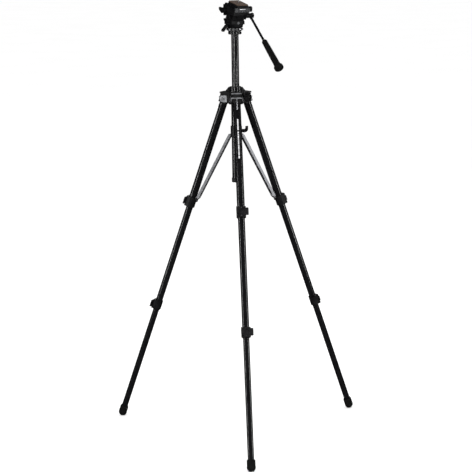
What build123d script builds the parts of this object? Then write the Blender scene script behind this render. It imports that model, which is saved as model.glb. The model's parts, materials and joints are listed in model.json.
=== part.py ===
from build123d import *
from math import atan2, cos, degrees, hypot, radians, sin
import os

# Folding camera tripod with a spreader, a sliding centre column and a pan and tilt head.
# Millimetres, +Z up. The floor is Z = 0 and the front leg points along -Y.
os.makedirs("parts", exist_ok=True)

# ---------------------------------------------------------------- driving dimensions
AXIS_Y = 133.0  # the column stands behind the middle of the footprint
LEGS = {"front": -90.0, "left": 150.0, "right": 30.0}  # azimuth of each leg, degrees
LEG_START = -90.0  # azimuth of the first of three equally spaced features

HINGE_HEIGHT = 1290.0
HINGE_RADIUS = 45.0
FOOT_SPREAD = 534.5  # from the column's axis to where a leg's axis meets the floor
LEG_SPLAY = degrees(atan2(FOOT_SPREAD - HINGE_RADIUS, HINGE_HEIGHT))

RUNNING = 0.06  # radial clearance of a pin or shaft in its hole
GAP = 0.3  # clearance between faces that pass each other

# leg sections: outer radius, half width of each lengthwise groove, wall
GROOVE_DEPTH = 1.4
UPPER_TUBE = (14.5, 4.0, 1.3)
MIDDLE_TUBE = (13.1, 5.4, 1.2)
LOWER_TUBE = (11.8, 6.8, 1.2)
UPPER_TUBE_SPAN = (16.0, 446.0)  # distances down the leg from its hinge
MIDDLE_TUBE_SPAN = (408.0, 891.0)
LOWER_TUBE_SPAN = (850.0, 1346.0)
UPPER_LOCK_SPAN = (410.0, 450.0)
LOWER_LOCK_SPAN = (858.0, 895.0)
FOOT_TOP = 1336.0
FOOT_RADIUS = 16.5

# leg hinge
EAR_RADIUS = 15.0
EAR_INNER = 16.0
EAR_THICKNESS = 4.0
TRIM_THICKNESS = 2.0
HINGE_BOLT_RADIUS = 4.0
BARREL_RADIUS = 11.0

# shoulder, guide tube and column
SHOULDER_BOTTOM, SHOULDER_TOP = 1270.0, 1311.0
SHOULDER_RADIUS = 27.0
BRIDGE_THICKNESS = 6.0
BRIDGE_REACH = 57.0
BRIDGE_WIDTH = 40.0
GUIDE_RADIUS, GUIDE_BORE = 18.0, 16.0
GUIDE_BOTTOM, GUIDE_TOP = 978.0, 1314.0
CAP_RADIUS, CAP_BOTTOM, CAP_TOP = 19.8, 974.0, 990.0
COLLAR_RADIUS, COLLAR_TOP = 24.0, 1336.0
BUSH_BOTTOM = 1254.0
COLUMN_RADIUS, COLUMN_BORE = 14.0, 12.0
COLUMN_BOTTOM, COLUMN_TOP = 1181.0, 1531.0
COLUMN_KNOB_AZIMUTH, COLUMN_KNOB_HEIGHT = -30.0, 1297.0

# spreader
HUB_RADIUS, HUB_BOTTOM, HUB_TOP = 21.5, 1145.0, 1188.0
HUB_PIVOT_RADIUS, HUB_PIVOT_HEIGHT = 27.0, 1152.0
BRACE_STATION, BRACE_OFFSET = 408.0, 21.0  # leg end pivot: down the leg, and inwards from its axis
BRACE_WIDTH, BRACE_WALL = 17.0, 1.6
BRACE_BACK, BRACE_FRONT = -6.0, 4.0  # the channel's reach on either side of the pivot line
BRACE_PIN_RADIUS = 2.5
HUB_KNOB_AZIMUTH = -25.0
HUB_KNOB_HEIGHT = 1170.0

# head
HEAD_YAW = 21.0  # the head is panned this far from square
FLANGE_RADIUS, FLANGE_TOP = 25.0, 1543.0
BASE_RADIUS, BASE_TOP = 30.0, 1556.0
TILT_HEIGHT = 1580.0
TILT_REST = 10.0  # the platform is tipped this far towards the operator
CHEEK_RADIUS, CHEEK_INNER, CHEEK_OUTER = 26.0, 19.5, 26.5
TILT_BARREL_RADIUS = 21.0
TILT_AXLE_RADIUS = 5.0
SLAB_BOTTOM, SLAB_TOP = 26.5, 31.0  # above the tilt axis
PLATFORM_TOP, RAIL_TOP, PLATE_TOP, PAD_TOP = 56.0, 62.0, 71.5, 75.0
PLATFORM_HALF = 30.5
CAMERA_SCREW_RADIUS = 3.175  # 1/4 inch thread
CAMERA_SCREW_Y = -24.0
HANDLE_X, HANDLE_Y, HANDLE_Z = 34.5, -58.0, 32.0  # handle pivot from the tilt axis
HANDLE_DROOP = 27.0  # below the platform's own plane


# ---------------------------------------------------------------- frames and outlines
COLUMN = Plane(origin=(0, AXIS_Y, 0))


def facing(base, side, x=0.0, y=0.0, z=0.0):
    """A plane at a point of base that looks out of one of its sides, with its own Y along base's Z."""
    across, along, up = base.x_dir, base.y_dir, base.z_dir
    turned = {
        "up": (across, up),
        "down": (across, -up),
        "rear": (across, -along),
        "front": (-across, along),
        "right": (along, across),
        "left": (-along, -across),
    }
    x_dir, z_dir = turned[side]
    return Plane(origin=base.from_local_coords((x, y, z)), x_dir=x_dir, z_dir=z_dir)


def radial_frame(azimuth):
    """The column's frame turned so that -Y points along the azimuth and X runs across it."""
    angle = radians(azimuth)
    return Plane(origin=(0, AXIS_Y, 0), x_dir=(-sin(angle), cos(angle), 0), z_dir=(0, 0, 1))


def leg_frame(name):
    """Origin on the leg's hinge, X along the hinge, Y outwards and Z down the leg."""
    angle, splay = radians(LEGS[name]), radians(LEG_SPLAY)
    return Plane(
        origin=(HINGE_RADIUS * cos(angle), AXIS_Y + HINGE_RADIUS * sin(angle), HINGE_HEIGHT),
        x_dir=(-sin(angle), cos(angle), 0),
        z_dir=(sin(splay) * cos(angle), sin(splay) * sin(angle), -cos(splay)),
    )


def brace_end_in_section():
    """Radius and height of the spreader's pivot on a leg."""
    splay = radians(LEG_SPLAY)
    radius = HINGE_RADIUS + BRACE_STATION * sin(splay) - BRACE_OFFSET * cos(splay)
    height = HINGE_HEIGHT - BRACE_STATION * cos(splay) - BRACE_OFFSET * sin(splay)
    return radius, height


BRACE_END_RADIUS, BRACE_END_HEIGHT = brace_end_in_section()
BRACE_RUN = BRACE_END_RADIUS - HUB_PIVOT_RADIUS
BRACE_DROP = HUB_PIVOT_HEIGHT - BRACE_END_HEIGHT
BRACE_LENGTH = hypot(BRACE_RUN, BRACE_DROP)
BRACE_LEAN = degrees(atan2(BRACE_RUN, BRACE_DROP))


def brace_frame(name):
    """Origin on the hub's pivot, X along the pivot, Y outwards and Z down the arm."""
    angle, lean = radians(LEGS[name]), radians(BRACE_LEAN)
    return Plane(
        origin=(
            HUB_PIVOT_RADIUS * cos(angle),
            AXIS_Y + HUB_PIVOT_RADIUS * sin(angle),
            HUB_PIVOT_HEIGHT,
        ),
        x_dir=(-sin(angle), cos(angle), 0),
        z_dir=(sin(lean) * cos(angle), sin(lean) * sin(angle), -cos(lean)),
    )


HEAD = Plane(
    origin=(0, AXIS_Y, 0), x_dir=(cos(radians(HEAD_YAW)), sin(radians(HEAD_YAW)), 0), z_dir=(0, 0, 1)
)


def tilt_frame():
    """The tilting part's own frame, on the tilt axis, tipped back from level."""
    tip = radians(TILT_REST)
    return Plane(
        origin=HEAD.from_local_coords((0, 0, TILT_HEIGHT)),
        x_dir=HEAD.x_dir,
        z_dir=HEAD.z_dir * cos(tip) - HEAD.y_dir * sin(tip),
    )


TILT = tilt_frame()


def handle_frame():
    """Origin on the handle's pivot, X along the pivot and Z down the bar."""
    droop = radians(HANDLE_DROOP)
    return Plane(
        origin=TILT.from_local_coords((HANDLE_X, HANDLE_Y, HANDLE_Z)),
        x_dir=TILT.x_dir,
        z_dir=-TILT.y_dir * cos(droop) - TILT.z_dir * sin(droop),
    )


HANDLE = handle_frame()


def grooved_outline(radius, groove_half):
    """A round section with three lengthwise grooves."""
    Circle(radius)
    with PolarLocations(radius - GROOVE_DEPTH + 5, 3, start_angle=90):
        Rectangle(10, 2 * groove_half, mode=Mode.SUBTRACT)


def lobed_outline(radius, lobe_radius, lobes):
    """A hand knob's outline: a disc with round lobes at its edge."""
    Circle(radius - lobe_radius)
    with PolarLocations(radius - lobe_radius, lobes):
        Circle(lobe_radius)


def finish(part, name):
    """Label a finished piece and write it to its own file."""
    part.label = name
    export_step(part, f"parts/{name}.step")
    print(f"{name:28s} {part.volume / 1000:9.2f} cm3")


# ---------------------------------------------------------------- legs
def leg_tube(name, piece, section, span):
    """A grooved drawn tube between two stations of a leg."""
    radius, groove_half, wall = section
    start = leg_frame(name).offset(span[0])
    with BuildPart() as tube:
        with BuildSketch(start):
            grooved_outline(radius, groove_half)
        extrude(amount=span[1] - span[0])
        with BuildSketch(start):
            grooved_outline(radius - wall, groove_half + wall)
        extrude(amount=span[1] - span[0], mode=Mode.SUBTRACT)
    finish(tube.part, f"{piece}_{name}")


TOP_PLUG_RADIUS = UPPER_TUBE[0] - UPPER_TUBE[2] - GROOVE_DEPTH - 0.1
TOP_PLUG_BOTTOM = 34.0
BARREL_HALF = EAR_INNER - GAP
TRIM_BAR_HALF = 20.0
TRIM_TONGUE_HALF = 1.7
TRIM_TONGUE_END = 42.0


def leg_top_fitting(name):
    """The casting at a leg's top: hinge barrel, stop block, plug and the bright bar and tongue outside."""
    frame = leg_frame(name)
    with BuildPart() as fitting:
        with BuildSketch(facing(frame, "right", x=-BARREL_HALF)):
            Circle(BARREL_RADIUS)
            with BuildLine():
                Polyline(
                    (-BARREL_RADIUS, 0), (0, -BARREL_RADIUS), (8, -14), (17.2, -15.9), (18.5, -13.5),
                    (16.4, -5), (16.4, UPPER_TUBE_SPAN[0]), (-14.8, UPPER_TUBE_SPAN[0]), close=True,
                )
            make_face()
        extrude(amount=2 * BARREL_HALF)
        with BuildSketch(frame.offset(UPPER_TUBE_SPAN[0] - 0.5)):
            Circle(TOP_PLUG_RADIUS)
        extrude(amount=TOP_PLUG_BOTTOM - UPPER_TUBE_SPAN[0])
        with BuildSketch(facing(frame, "right", x=-TRIM_BAR_HALF)):
            with Locations((16.8, -1.5)):
                RectangleRounded(2.6, 5.0, 0.8)
        extrude(amount=2 * TRIM_BAR_HALF)
        with BuildSketch(facing(frame, "right", x=-TRIM_TONGUE_HALF)):
            with Locations((15.2, TRIM_TONGUE_END / 2)):
                Rectangle(2.8, TRIM_TONGUE_END)
        extrude(amount=2 * TRIM_TONGUE_HALF)
        with BuildSketch(facing(frame, "right", x=-EAR_INNER)):
            Circle(HINGE_BOLT_RADIUS + RUNNING)
        extrude(amount=2 * EAR_INNER, mode=Mode.SUBTRACT)
    finish(fitting.part, f"leg_top_fitting_{name}")


# lever locks: places are given in a leg's section, X along its hinge and Y outwards
LOCK_PIVOT_X = -15.5
LOCK_LUG_RADIUS = 3.0
LOCK_PIN_RADIUS = 1.6
LOCK_KNUCKLE_HALF = 8.7
LOCK_PIN_HALF = 14.5
LEVER_HALF = 14.0
LEVER_THICKNESS = 3.0
LEVER_END_X = 26.5
LEVER_WIDE_X = -8.0  # the lever is full height beyond here
COLLAR_WALL = 3.3
COLLAR_LIP = 4.0
COLLAR_INNER_FLAT = 1.3  # the collar's wall on the side that faces the column
BRACE_LUG_HALF = 4.0


def lock_face(radius):
    """Distance from a leg's axis to the flat face under the lever."""
    return radius + COLLAR_WALL + 1.2


def lock_collar(name, piece, span, outer_section, inner_section, brace_lug):
    """The clamp at the end of a section: it holds the larger tube and guides the smaller one."""
    radius, inner_radius = outer_section[0], inner_section[0]
    pivot_y = lock_face(radius) - LOCK_LUG_RADIUS
    length = span[1] - span[0]
    frame = leg_frame(name).offset(span[0])
    notch_half = LOCK_KNUCKLE_HALF + GAP
    with BuildPart() as collar:
        with BuildSketch(frame):
            Circle(radius + COLLAR_WALL)
            with Locations((LOCK_PIVOT_X, pivot_y), (14.0, pivot_y)):
                Circle(LOCK_LUG_RADIUS)
            make_hull()
            with Locations((0, -radius - COLLAR_INNER_FLAT)):
                Rectangle(60, 10, align=(Align.CENTER, Align.MAX), mode=Mode.SUBTRACT)
        extrude(amount=length)
        if brace_lug:
            with BuildSketch(facing(leg_frame(name), "right", x=-BRACE_LUG_HALF)):
                with Locations((-BRACE_OFFSET, BRACE_STATION)):
                    Circle(BRACE_PIN_RADIUS + 1.9)
                with Locations((-BRACE_OFFSET + 2.5, BRACE_STATION + 8)):
                    Rectangle(9, 12)
            extrude(amount=2 * BRACE_LUG_HALF)
            with BuildSketch(facing(leg_frame(name), "right", x=-BRACE_WIDTH / 2)):
                with Locations((-BRACE_OFFSET, BRACE_STATION)):
                    Circle(BRACE_PIN_RADIUS)
            extrude(amount=BRACE_WIDTH)
        with BuildSketch(frame):
            Circle(radius)
        extrude(amount=length - COLLAR_LIP, mode=Mode.SUBTRACT)
        with BuildSketch(frame):
            Circle(inner_radius + RUNNING)
        extrude(amount=length, mode=Mode.SUBTRACT)
        with BuildSketch(frame.offset(length / 2 - notch_half)):
            with Locations((LOCK_PIVOT_X - LOCK_LUG_RADIUS - 2, pivot_y - 4)):
                Rectangle(12, 12, align=(Align.MIN, Align.MIN))
        extrude(amount=2 * notch_half, mode=Mode.SUBTRACT)
        with BuildSketch(frame):
            with Locations((LOCK_PIVOT_X, pivot_y)):
                Circle(LOCK_PIN_RADIUS + RUNNING)
        extrude(amount=length, mode=Mode.SUBTRACT)
        with BuildSketch(frame):
            with Locations((radius + 2, 0)):
                Rectangle(8, 1.4)
        extrude(amount=length, mode=Mode.SUBTRACT)
    finish(collar.part, f"{piece}_{name}")


def lock_lever(name, piece, span, outer_section):
    """The flip lever on a clamp's outer face, with its pivot pin along the leg."""
    face = lock_face(outer_section[0])
    pivot_y = face - LOCK_LUG_RADIUS
    middle = (span[0] + span[1]) / 2
    frame = leg_frame(name)
    inner = face + GAP
    outer = inner + LEVER_THICKNESS
    with BuildPart() as lever:
        with BuildSketch(frame.offset(middle - LOCK_KNUCKLE_HALF)):
            with Locations((LOCK_PIVOT_X, pivot_y), (LOCK_PIVOT_X, outer - LOCK_LUG_RADIUS - GAP)):
                Circle(LOCK_LUG_RADIUS + GAP)
            make_hull()
            with Locations((LOCK_PIVOT_X, inner)):
                Rectangle(12, LEVER_THICKNESS, align=(Align.MIN, Align.MIN))
        extrude(amount=2 * LOCK_KNUCKLE_HALF)
        with BuildSketch(facing(frame, "front", y=inner)):
            with Locations((-(LEVER_WIDE_X + LEVER_END_X) / 2, middle)):
                RectangleRounded(LEVER_END_X - LEVER_WIDE_X, 2 * LEVER_HALF, 3.0)
        extrude(amount=LEVER_THICKNESS)
        with BuildSketch(frame.offset(middle - LEVER_HALF + 3)):
            with Locations((LEVER_END_X - 3.6, inner + 1)):
                Circle(2.6)
        extrude(amount=2 * LEVER_HALF - 6)
        with BuildSketch(frame.offset(middle - LOCK_PIN_HALF)):
            with Locations((LOCK_PIVOT_X, pivot_y)):
                Circle(LOCK_PIN_RADIUS)
        extrude(amount=2 * LOCK_PIN_HALF)
    finish(lever.part, f"{piece}_{name}")


def foot(name):
    """A rubber boot with a domed end, trimmed flat where it meets the floor."""
    frame = leg_frame(name)
    dome = (HINGE_HEIGHT - FOOT_RADIUS + 0.9) / cos(radians(LEG_SPLAY))
    with BuildPart() as boot:
        with BuildSketch(facing(frame, "right")):
            with BuildLine():
                Line((0, FOOT_TOP), (FOOT_RADIUS - 2.2, FOOT_TOP))
                Line((FOOT_RADIUS - 2.2, FOOT_TOP), (FOOT_RADIUS - 0.6, FOOT_TOP + 2.5))
                Line((FOOT_RADIUS - 0.6, FOOT_TOP + 2.5), (FOOT_RADIUS, dome))
                CenterArc((0, dome), FOOT_RADIUS, 0, 90)
                Line((0, dome + FOOT_RADIUS), (0, FOOT_TOP))
            make_face()
        revolve(axis=Axis(frame.origin, frame.z_dir))
        with BuildSketch(frame.offset(FOOT_TOP)):
            Circle(LOWER_TUBE[0])
        extrude(amount=LOWER_TUBE_SPAN[1] - FOOT_TOP, mode=Mode.SUBTRACT)
        split(bisect_by=Plane.XY, keep=Keep.TOP)
    finish(boot.part, f"foot_{name}")


SLOT_ALONG, SLOT_ACROSS = 2.1, 0.75  # play of the arm's lower hole round its pin
ARM_RIB_PITCH, ARM_RIBS = 5.0, 10


def brace_arm(name):
    """A channel arm, open towards the column, with a ribbed back near the leg and a slotted lower hole."""
    frame = brace_frame(name)
    half = BRACE_WIDTH / 2
    web_end = BRACE_LENGTH - 10.0
    with BuildPart() as arm:
        with BuildSketch(facing(frame, "right", x=-half)):
            with BuildLine():
                Line((BRACE_BACK, 0), (BRACE_BACK, BRACE_LENGTH - 6))
                Line((BRACE_BACK, BRACE_LENGTH - 6), (-3.2, BRACE_LENGTH + 3.4))
                ThreePointArc((-3.2, BRACE_LENGTH + 3.4), (0, BRACE_LENGTH + 5.0), (3.2, BRACE_LENGTH + 3.4))
                Line((3.2, BRACE_LENGTH + 3.4), (BRACE_FRONT, BRACE_LENGTH))
                Line((BRACE_FRONT, BRACE_LENGTH), (BRACE_FRONT, 0))
                ThreePointArc((BRACE_FRONT, 0), ((BRACE_FRONT + BRACE_BACK) / 2, -5), (BRACE_BACK, 0))
            make_face()
        extrude(amount=BRACE_WIDTH)
        with BuildSketch(facing(frame, "right", x=-half + BRACE_WALL)):
            with Locations((BRACE_BACK - 1, -8)):
                Rectangle(BRACE_FRONT - BRACE_BACK + 1 - BRACE_WALL, BRACE_LENGTH + 16,
                          align=(Align.MIN, Align.MIN))
            with Locations((BRACE_BACK - 1, web_end)):
                Rectangle(20, 20, align=(Align.MIN, Align.MIN))
            with Locations((BRACE_BACK - 1, 7)):
                Rectangle(20, 20, align=(Align.MIN, Align.MAX))
        extrude(amount=BRACE_WIDTH - 2 * BRACE_WALL, mode=Mode.SUBTRACT)
        with BuildSketch(facing(frame, "right", x=-half)):
            Circle(BRACE_PIN_RADIUS + RUNNING)
            with Locations((0, BRACE_LENGTH)):
                SlotOverall(2 * (BRACE_PIN_RADIUS + SLOT_ALONG), 2 * (BRACE_PIN_RADIUS + SLOT_ACROSS),
                            rotation=90)
        extrude(amount=BRACE_WIDTH, mode=Mode.SUBTRACT)
        with BuildSketch(facing(frame, "front", y=BRACE_FRONT)):
            with Locations((0, web_end - ARM_RIB_PITCH * ARM_RIBS / 2)):
                with GridLocations(1, ARM_RIB_PITCH, 1, ARM_RIBS):
                    Rectangle(BRACE_WIDTH - 1, 2.2)
        extrude(amount=0.9)
    finish(arm.part, f"brace_arm_{name}")


for leg in LEGS:
    leg_top_fitting(leg)
    leg_tube(leg, "upper_leg_tube", UPPER_TUBE, UPPER_TUBE_SPAN)
    lock_collar(leg, "upper_lock_collar", UPPER_LOCK_SPAN, UPPER_TUBE, MIDDLE_TUBE, True)
    lock_lever(leg, "upper_lock_lever", UPPER_LOCK_SPAN, UPPER_TUBE)
    leg_tube(leg, "middle_leg_tube", MIDDLE_TUBE, MIDDLE_TUBE_SPAN)
    lock_collar(leg, "lower_lock_collar", LOWER_LOCK_SPAN, MIDDLE_TUBE, LOWER_TUBE, False)
    lock_lever(leg, "lower_lock_lever", LOWER_LOCK_SPAN, MIDDLE_TUBE)
    leg_tube(leg, "lower_leg_tube", LOWER_TUBE, LOWER_TUBE_SPAN)
    foot(leg)
    brace_arm(leg)


# ---------------------------------------------------------------- shoulder
KNOB_FRAME = radial_frame(COLUMN_KNOB_AZIMUTH)
KNOB_STUD_RADIUS, KNOB_STUD_HOLE = 3.0, 3.1
EAR_FRAMES = [radial_frame(azimuth) for azimuth in LEGS.values()]

with BuildPart() as shoulder_casting:
    with BuildSketch(COLUMN.offset(SHOULDER_BOTTOM)):
        Circle(SHOULDER_RADIUS)
    extrude(amount=SHOULDER_TOP - SHOULDER_BOTTOM)
    with BuildSketch(COLUMN.offset(SHOULDER_TOP)):
        Circle(SHOULDER_RADIUS + 2)
        with PolarLocations(BRIDGE_REACH / 2, 3, start_angle=LEG_START):
            Rectangle(BRIDGE_REACH, BRIDGE_WIDTH)
    extrude(amount=BRIDGE_THICKNESS)
    for ear_frame in EAR_FRAMES:
        for ear_start in (EAR_INNER, -EAR_INNER - EAR_THICKNESS):
            with BuildSketch(facing(ear_frame, "right", x=ear_start)):
                with Locations((-HINGE_RADIUS, HINGE_HEIGHT)):
                    Circle(EAR_RADIUS)
                    Rectangle(EAR_RADIUS, SHOULDER_TOP - HINGE_HEIGHT + 1, align=(Align.CENTER, Align.MIN))
                with Locations((-HINGE_RADIUS, HINGE_HEIGHT - EAR_RADIUS)):
                    Rectangle(30, SHOULDER_TOP - HINGE_HEIGHT + EAR_RADIUS + 1, align=(Align.MIN, Align.MIN))
            extrude(amount=EAR_THICKNESS)
        with BuildSketch(facing(ear_frame, "right", x=-3)):
            with BuildLine():
                Polyline((-24.2, SHOULDER_TOP), (-24.2, COLLAR_TOP - 2), (-28, COLLAR_TOP - 2),
                         (-44, SHOULDER_TOP + BRIDGE_THICKNESS), (-44, SHOULDER_TOP), close=True)
            make_face()
        extrude(amount=6)
        with BuildSketch(facing(ear_frame, "right", x=-30)):
            with Locations((-HINGE_RADIUS, HINGE_HEIGHT)):
                Circle(HINGE_BOLT_RADIUS)
        extrude(amount=60, mode=Mode.SUBTRACT)
    with BuildSketch(COLUMN.offset(SHOULDER_BOTTOM)):
        Circle(GUIDE_RADIUS)
    extrude(amount=COLLAR_TOP - SHOULDER_BOTTOM, mode=Mode.SUBTRACT)
    with BuildSketch(facing(KNOB_FRAME, "rear", y=-15, z=COLUMN_KNOB_HEIGHT)):
        Circle(KNOB_STUD_HOLE)
    extrude(amount=20, mode=Mode.SUBTRACT)
finish(shoulder_casting.part, "shoulder_casting")

TRIM_LUG_RADIUS = 12.5

with BuildPart() as shoulder_trim:
    for ear_frame in EAR_FRAMES:
        for trim_start in (EAR_INNER + EAR_THICKNESS, -EAR_INNER - EAR_THICKNESS - TRIM_THICKNESS):
            with BuildSketch(facing(ear_frame, "right", x=trim_start)):
                with Locations((-HINGE_RADIUS, HINGE_HEIGHT)):
                    Circle(TRIM_LUG_RADIUS)
                    Rectangle(17, 2 * TRIM_LUG_RADIUS, align=(Align.MIN, Align.CENTER))
                    Circle(HINGE_BOLT_RADIUS, mode=Mode.SUBTRACT)
            extrude(amount=TRIM_THICKNESS)
        with BuildSketch(facing(ear_frame, "rear", y=-BRIDGE_REACH, z=SHOULDER_TOP + BRIDGE_THICKNESS / 2)):
            RectangleRounded(BRIDGE_WIDTH, BRIDGE_THICKNESS - 1, 1.0)
        extrude(amount=1.5)
finish(shoulder_trim.part, "shoulder_trim")

BOLT_HEAD_RADIUS, BOLT_HEAD_THICKNESS = 6.5, 4.0
BOLT_HALF = EAR_INNER + EAR_THICKNESS + TRIM_THICKNESS

with BuildPart() as leg_hinge_bolts:
    for ear_frame in EAR_FRAMES:
        with BuildSketch(facing(ear_frame, "right", x=-BOLT_HALF)):
            with Locations((-HINGE_RADIUS, HINGE_HEIGHT)):
                Circle(HINGE_BOLT_RADIUS)
        extrude(amount=2 * BOLT_HALF)
        for side, direction in (("right", 1), ("left", -1)):
            with BuildSketch(facing(ear_frame, side, x=direction * BOLT_HALF)):
                with Locations((-direction * HINGE_RADIUS, HINGE_HEIGHT)):
                    Circle(BOLT_HEAD_RADIUS)
            extrude(amount=BOLT_HEAD_THICKNESS)
            with BuildSketch(facing(ear_frame, side, x=direction * (BOLT_HALF + BOLT_HEAD_THICKNESS))):
                with Locations((-direction * HINGE_RADIUS, HINGE_HEIGHT)):
                    RegularPolygon(3.0, 6)
            extrude(amount=-2.2, mode=Mode.SUBTRACT)
finish(leg_hinge_bolts.part, "leg_hinge_bolts")

with BuildPart() as guide_tube:
    with BuildSketch(COLUMN.offset(GUIDE_BOTTOM)):
        Circle(GUIDE_RADIUS)
        Circle(GUIDE_BORE, mode=Mode.SUBTRACT)
    extrude(amount=GUIDE_TOP - GUIDE_BOTTOM)
    with BuildSketch(facing(KNOB_FRAME, "rear", y=-13, z=COLUMN_KNOB_HEIGHT)):
        Circle(KNOB_STUD_HOLE)
    extrude(amount=10, mode=Mode.SUBTRACT)
finish(guide_tube.part, "guide_tube")

with BuildPart() as guide_tube_cap:
    with BuildSketch(COLUMN.offset(CAP_BOTTOM)):
        Circle(CAP_RADIUS)
    extrude(amount=CAP_TOP - CAP_BOTTOM)
    with BuildSketch(COLUMN.offset(GUIDE_BOTTOM)):
        Circle(GUIDE_RADIUS)
        Circle(GUIDE_BORE, mode=Mode.SUBTRACT)
    extrude(amount=CAP_TOP - GUIDE_BOTTOM, mode=Mode.SUBTRACT)
    with BuildSketch(COLUMN.offset(GUIDE_BOTTOM)):
        Circle(GUIDE_BORE - 2)
    extrude(amount=CAP_TOP - GUIDE_BOTTOM, mode=Mode.SUBTRACT)
    chamfer(guide_tube_cap.faces().sort_by(Axis.Z)[0].edges(), 1.5)
finish(guide_tube_cap.part, "guide_tube_cap")

with BuildPart() as column_collar:
    with BuildSketch(COLUMN.offset(GUIDE_TOP)):
        Circle(COLLAR_RADIUS)
    extrude(amount=COLLAR_TOP - GUIDE_TOP)
    chamfer(column_collar.faces().sort_by(Axis.Z)[-1].edges(), 1.5)
    with BuildSketch(COLUMN.offset(BUSH_BOTTOM)):
        Circle(GUIDE_BORE)
    extrude(amount=GUIDE_TOP - BUSH_BOTTOM)
    with BuildSketch(COLUMN.offset(SHOULDER_TOP)):
        Circle(BRIDGE_REACH)
        Circle(GUIDE_RADIUS, mode=Mode.SUBTRACT)
    extrude(amount=BRIDGE_THICKNESS, mode=Mode.SUBTRACT)
    with BuildSketch(COLUMN.offset(BUSH_BOTTOM)):
        Circle(COLUMN_RADIUS + RUNNING)
    extrude(amount=COLLAR_TOP - BUSH_BOTTOM, mode=Mode.SUBTRACT)
    with BuildSketch(facing(KNOB_FRAME, "rear", y=-13, z=COLUMN_KNOB_HEIGHT)):
        Circle(KNOB_STUD_HOLE)
    extrude(amount=10, mode=Mode.SUBTRACT)
finish(column_collar.part, "column_collar")

KNOB_FACE, KNOB_THICKNESS, KNOB_RADIUS = 42.0, 20.0, 19.0

with BuildPart() as column_lock_knob:
    with BuildSketch(facing(KNOB_FRAME, "rear", y=-COLUMN_RADIUS - 0.2, z=COLUMN_KNOB_HEIGHT)):
        Circle(KNOB_STUD_RADIUS)
    extrude(amount=KNOB_FACE - COLUMN_RADIUS)
    with BuildSketch(facing(KNOB_FRAME, "rear", y=-SHOULDER_RADIUS - 1.5, z=COLUMN_KNOB_HEIGHT)):
        Circle(7.5)
    extrude(amount=KNOB_FACE - SHOULDER_RADIUS)
    with BuildSketch(facing(KNOB_FRAME, "rear", y=-KNOB_FACE, z=COLUMN_KNOB_HEIGHT)):
        lobed_outline(KNOB_RADIUS, 4.6, 7)
    extrude(amount=KNOB_THICKNESS - 5)
    with BuildSketch(facing(KNOB_FRAME, "rear", y=-KNOB_FACE - KNOB_THICKNESS + 5, z=COLUMN_KNOB_HEIGHT)):
        Circle(12)
    extrude(amount=5, taper=25)
finish(column_lock_knob.part, "column_lock_knob")

# ---------------------------------------------------------------- centre column
STUD_RADIUS, STUD_HEIGHT = 4.76, 10.0  # 3/8 inch thread into the head

with BuildPart() as column_tube:
    with BuildSketch(COLUMN.offset(COLUMN_BOTTOM)):
        Circle(COLUMN_RADIUS)
        Circle(COLUMN_BORE, mode=Mode.SUBTRACT)
    extrude(amount=COLUMN_TOP - COLUMN_BOTTOM)
finish(column_tube.part, "column_tube")

with BuildPart() as column_flange:
    with BuildSketch(COLUMN.offset(COLUMN_TOP)):
        Circle(FLANGE_RADIUS)
    extrude(amount=FLANGE_TOP - COLUMN_TOP)
    chamfer(column_flange.edges().filter_by(GeomType.CIRCLE), 2.0)
    with BuildSketch(COLUMN.offset(COLUMN_TOP - 22)):
        Circle(COLUMN_BORE)
    extrude(amount=22)
    with BuildSketch(COLUMN.offset(FLANGE_TOP)):
        Circle(STUD_RADIUS)
    extrude(amount=STUD_HEIGHT)
finish(column_flange.part, "column_flange")

with BuildPart() as head_base:
    with BuildSketch(COLUMN.offset(FLANGE_TOP)):
        Circle(BASE_RADIUS - 5)
    extrude(amount=3)
    with BuildSketch(COLUMN.offset(FLANGE_TOP + 3)):
        Circle(BASE_RADIUS)
    extrude(amount=BASE_TOP - FLANGE_TOP - 3)
    chamfer(head_base.edges().filter_by(GeomType.CIRCLE).sort_by(Axis.Z)[-1], 1.5)
    with BuildSketch(COLUMN.offset(FLANGE_TOP)):
        Circle(STUD_RADIUS)
    extrude(amount=STUD_HEIGHT, mode=Mode.SUBTRACT)
finish(head_base.part, "head_base")

BASE_SCREW_RADIUS, BASE_SCREWS = 2.7, 9
BASE_SCREW_HEIGHT = 1550.0

with BuildPart() as base_screws:
    for turn in range(BASE_SCREWS):
        screw_frame = radial_frame(LEG_START - 3.7 + turn * 360 / BASE_SCREWS)
        with BuildSketch(facing(screw_frame, "rear", y=-BASE_RADIUS, z=BASE_SCREW_HEIGHT)):
            Circle(BASE_SCREW_RADIUS)
        extrude(amount=1.4)
        with BuildSketch(facing(screw_frame, "rear", y=-BASE_RADIUS - 1.4, z=BASE_SCREW_HEIGHT)):
            RegularPolygon(1.3, 6)
        extrude(amount=-0.9, mode=Mode.SUBTRACT)
    with BuildSketch(COLUMN.offset(FLANGE_TOP)):
        Circle(BASE_RADIUS)
    extrude(amount=BASE_TOP - FLANGE_TOP, mode=Mode.SUBTRACT)
finish(base_screws.part, "base_screws")

# ---------------------------------------------------------------- spreader
HUB_FRAMES = EAR_FRAMES
HUB_KNOB_FRAME = radial_frame(HUB_KNOB_AZIMUTH)
HUB_LUG_HALF = BRACE_WIDTH / 2 - BRACE_WALL - GAP

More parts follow.
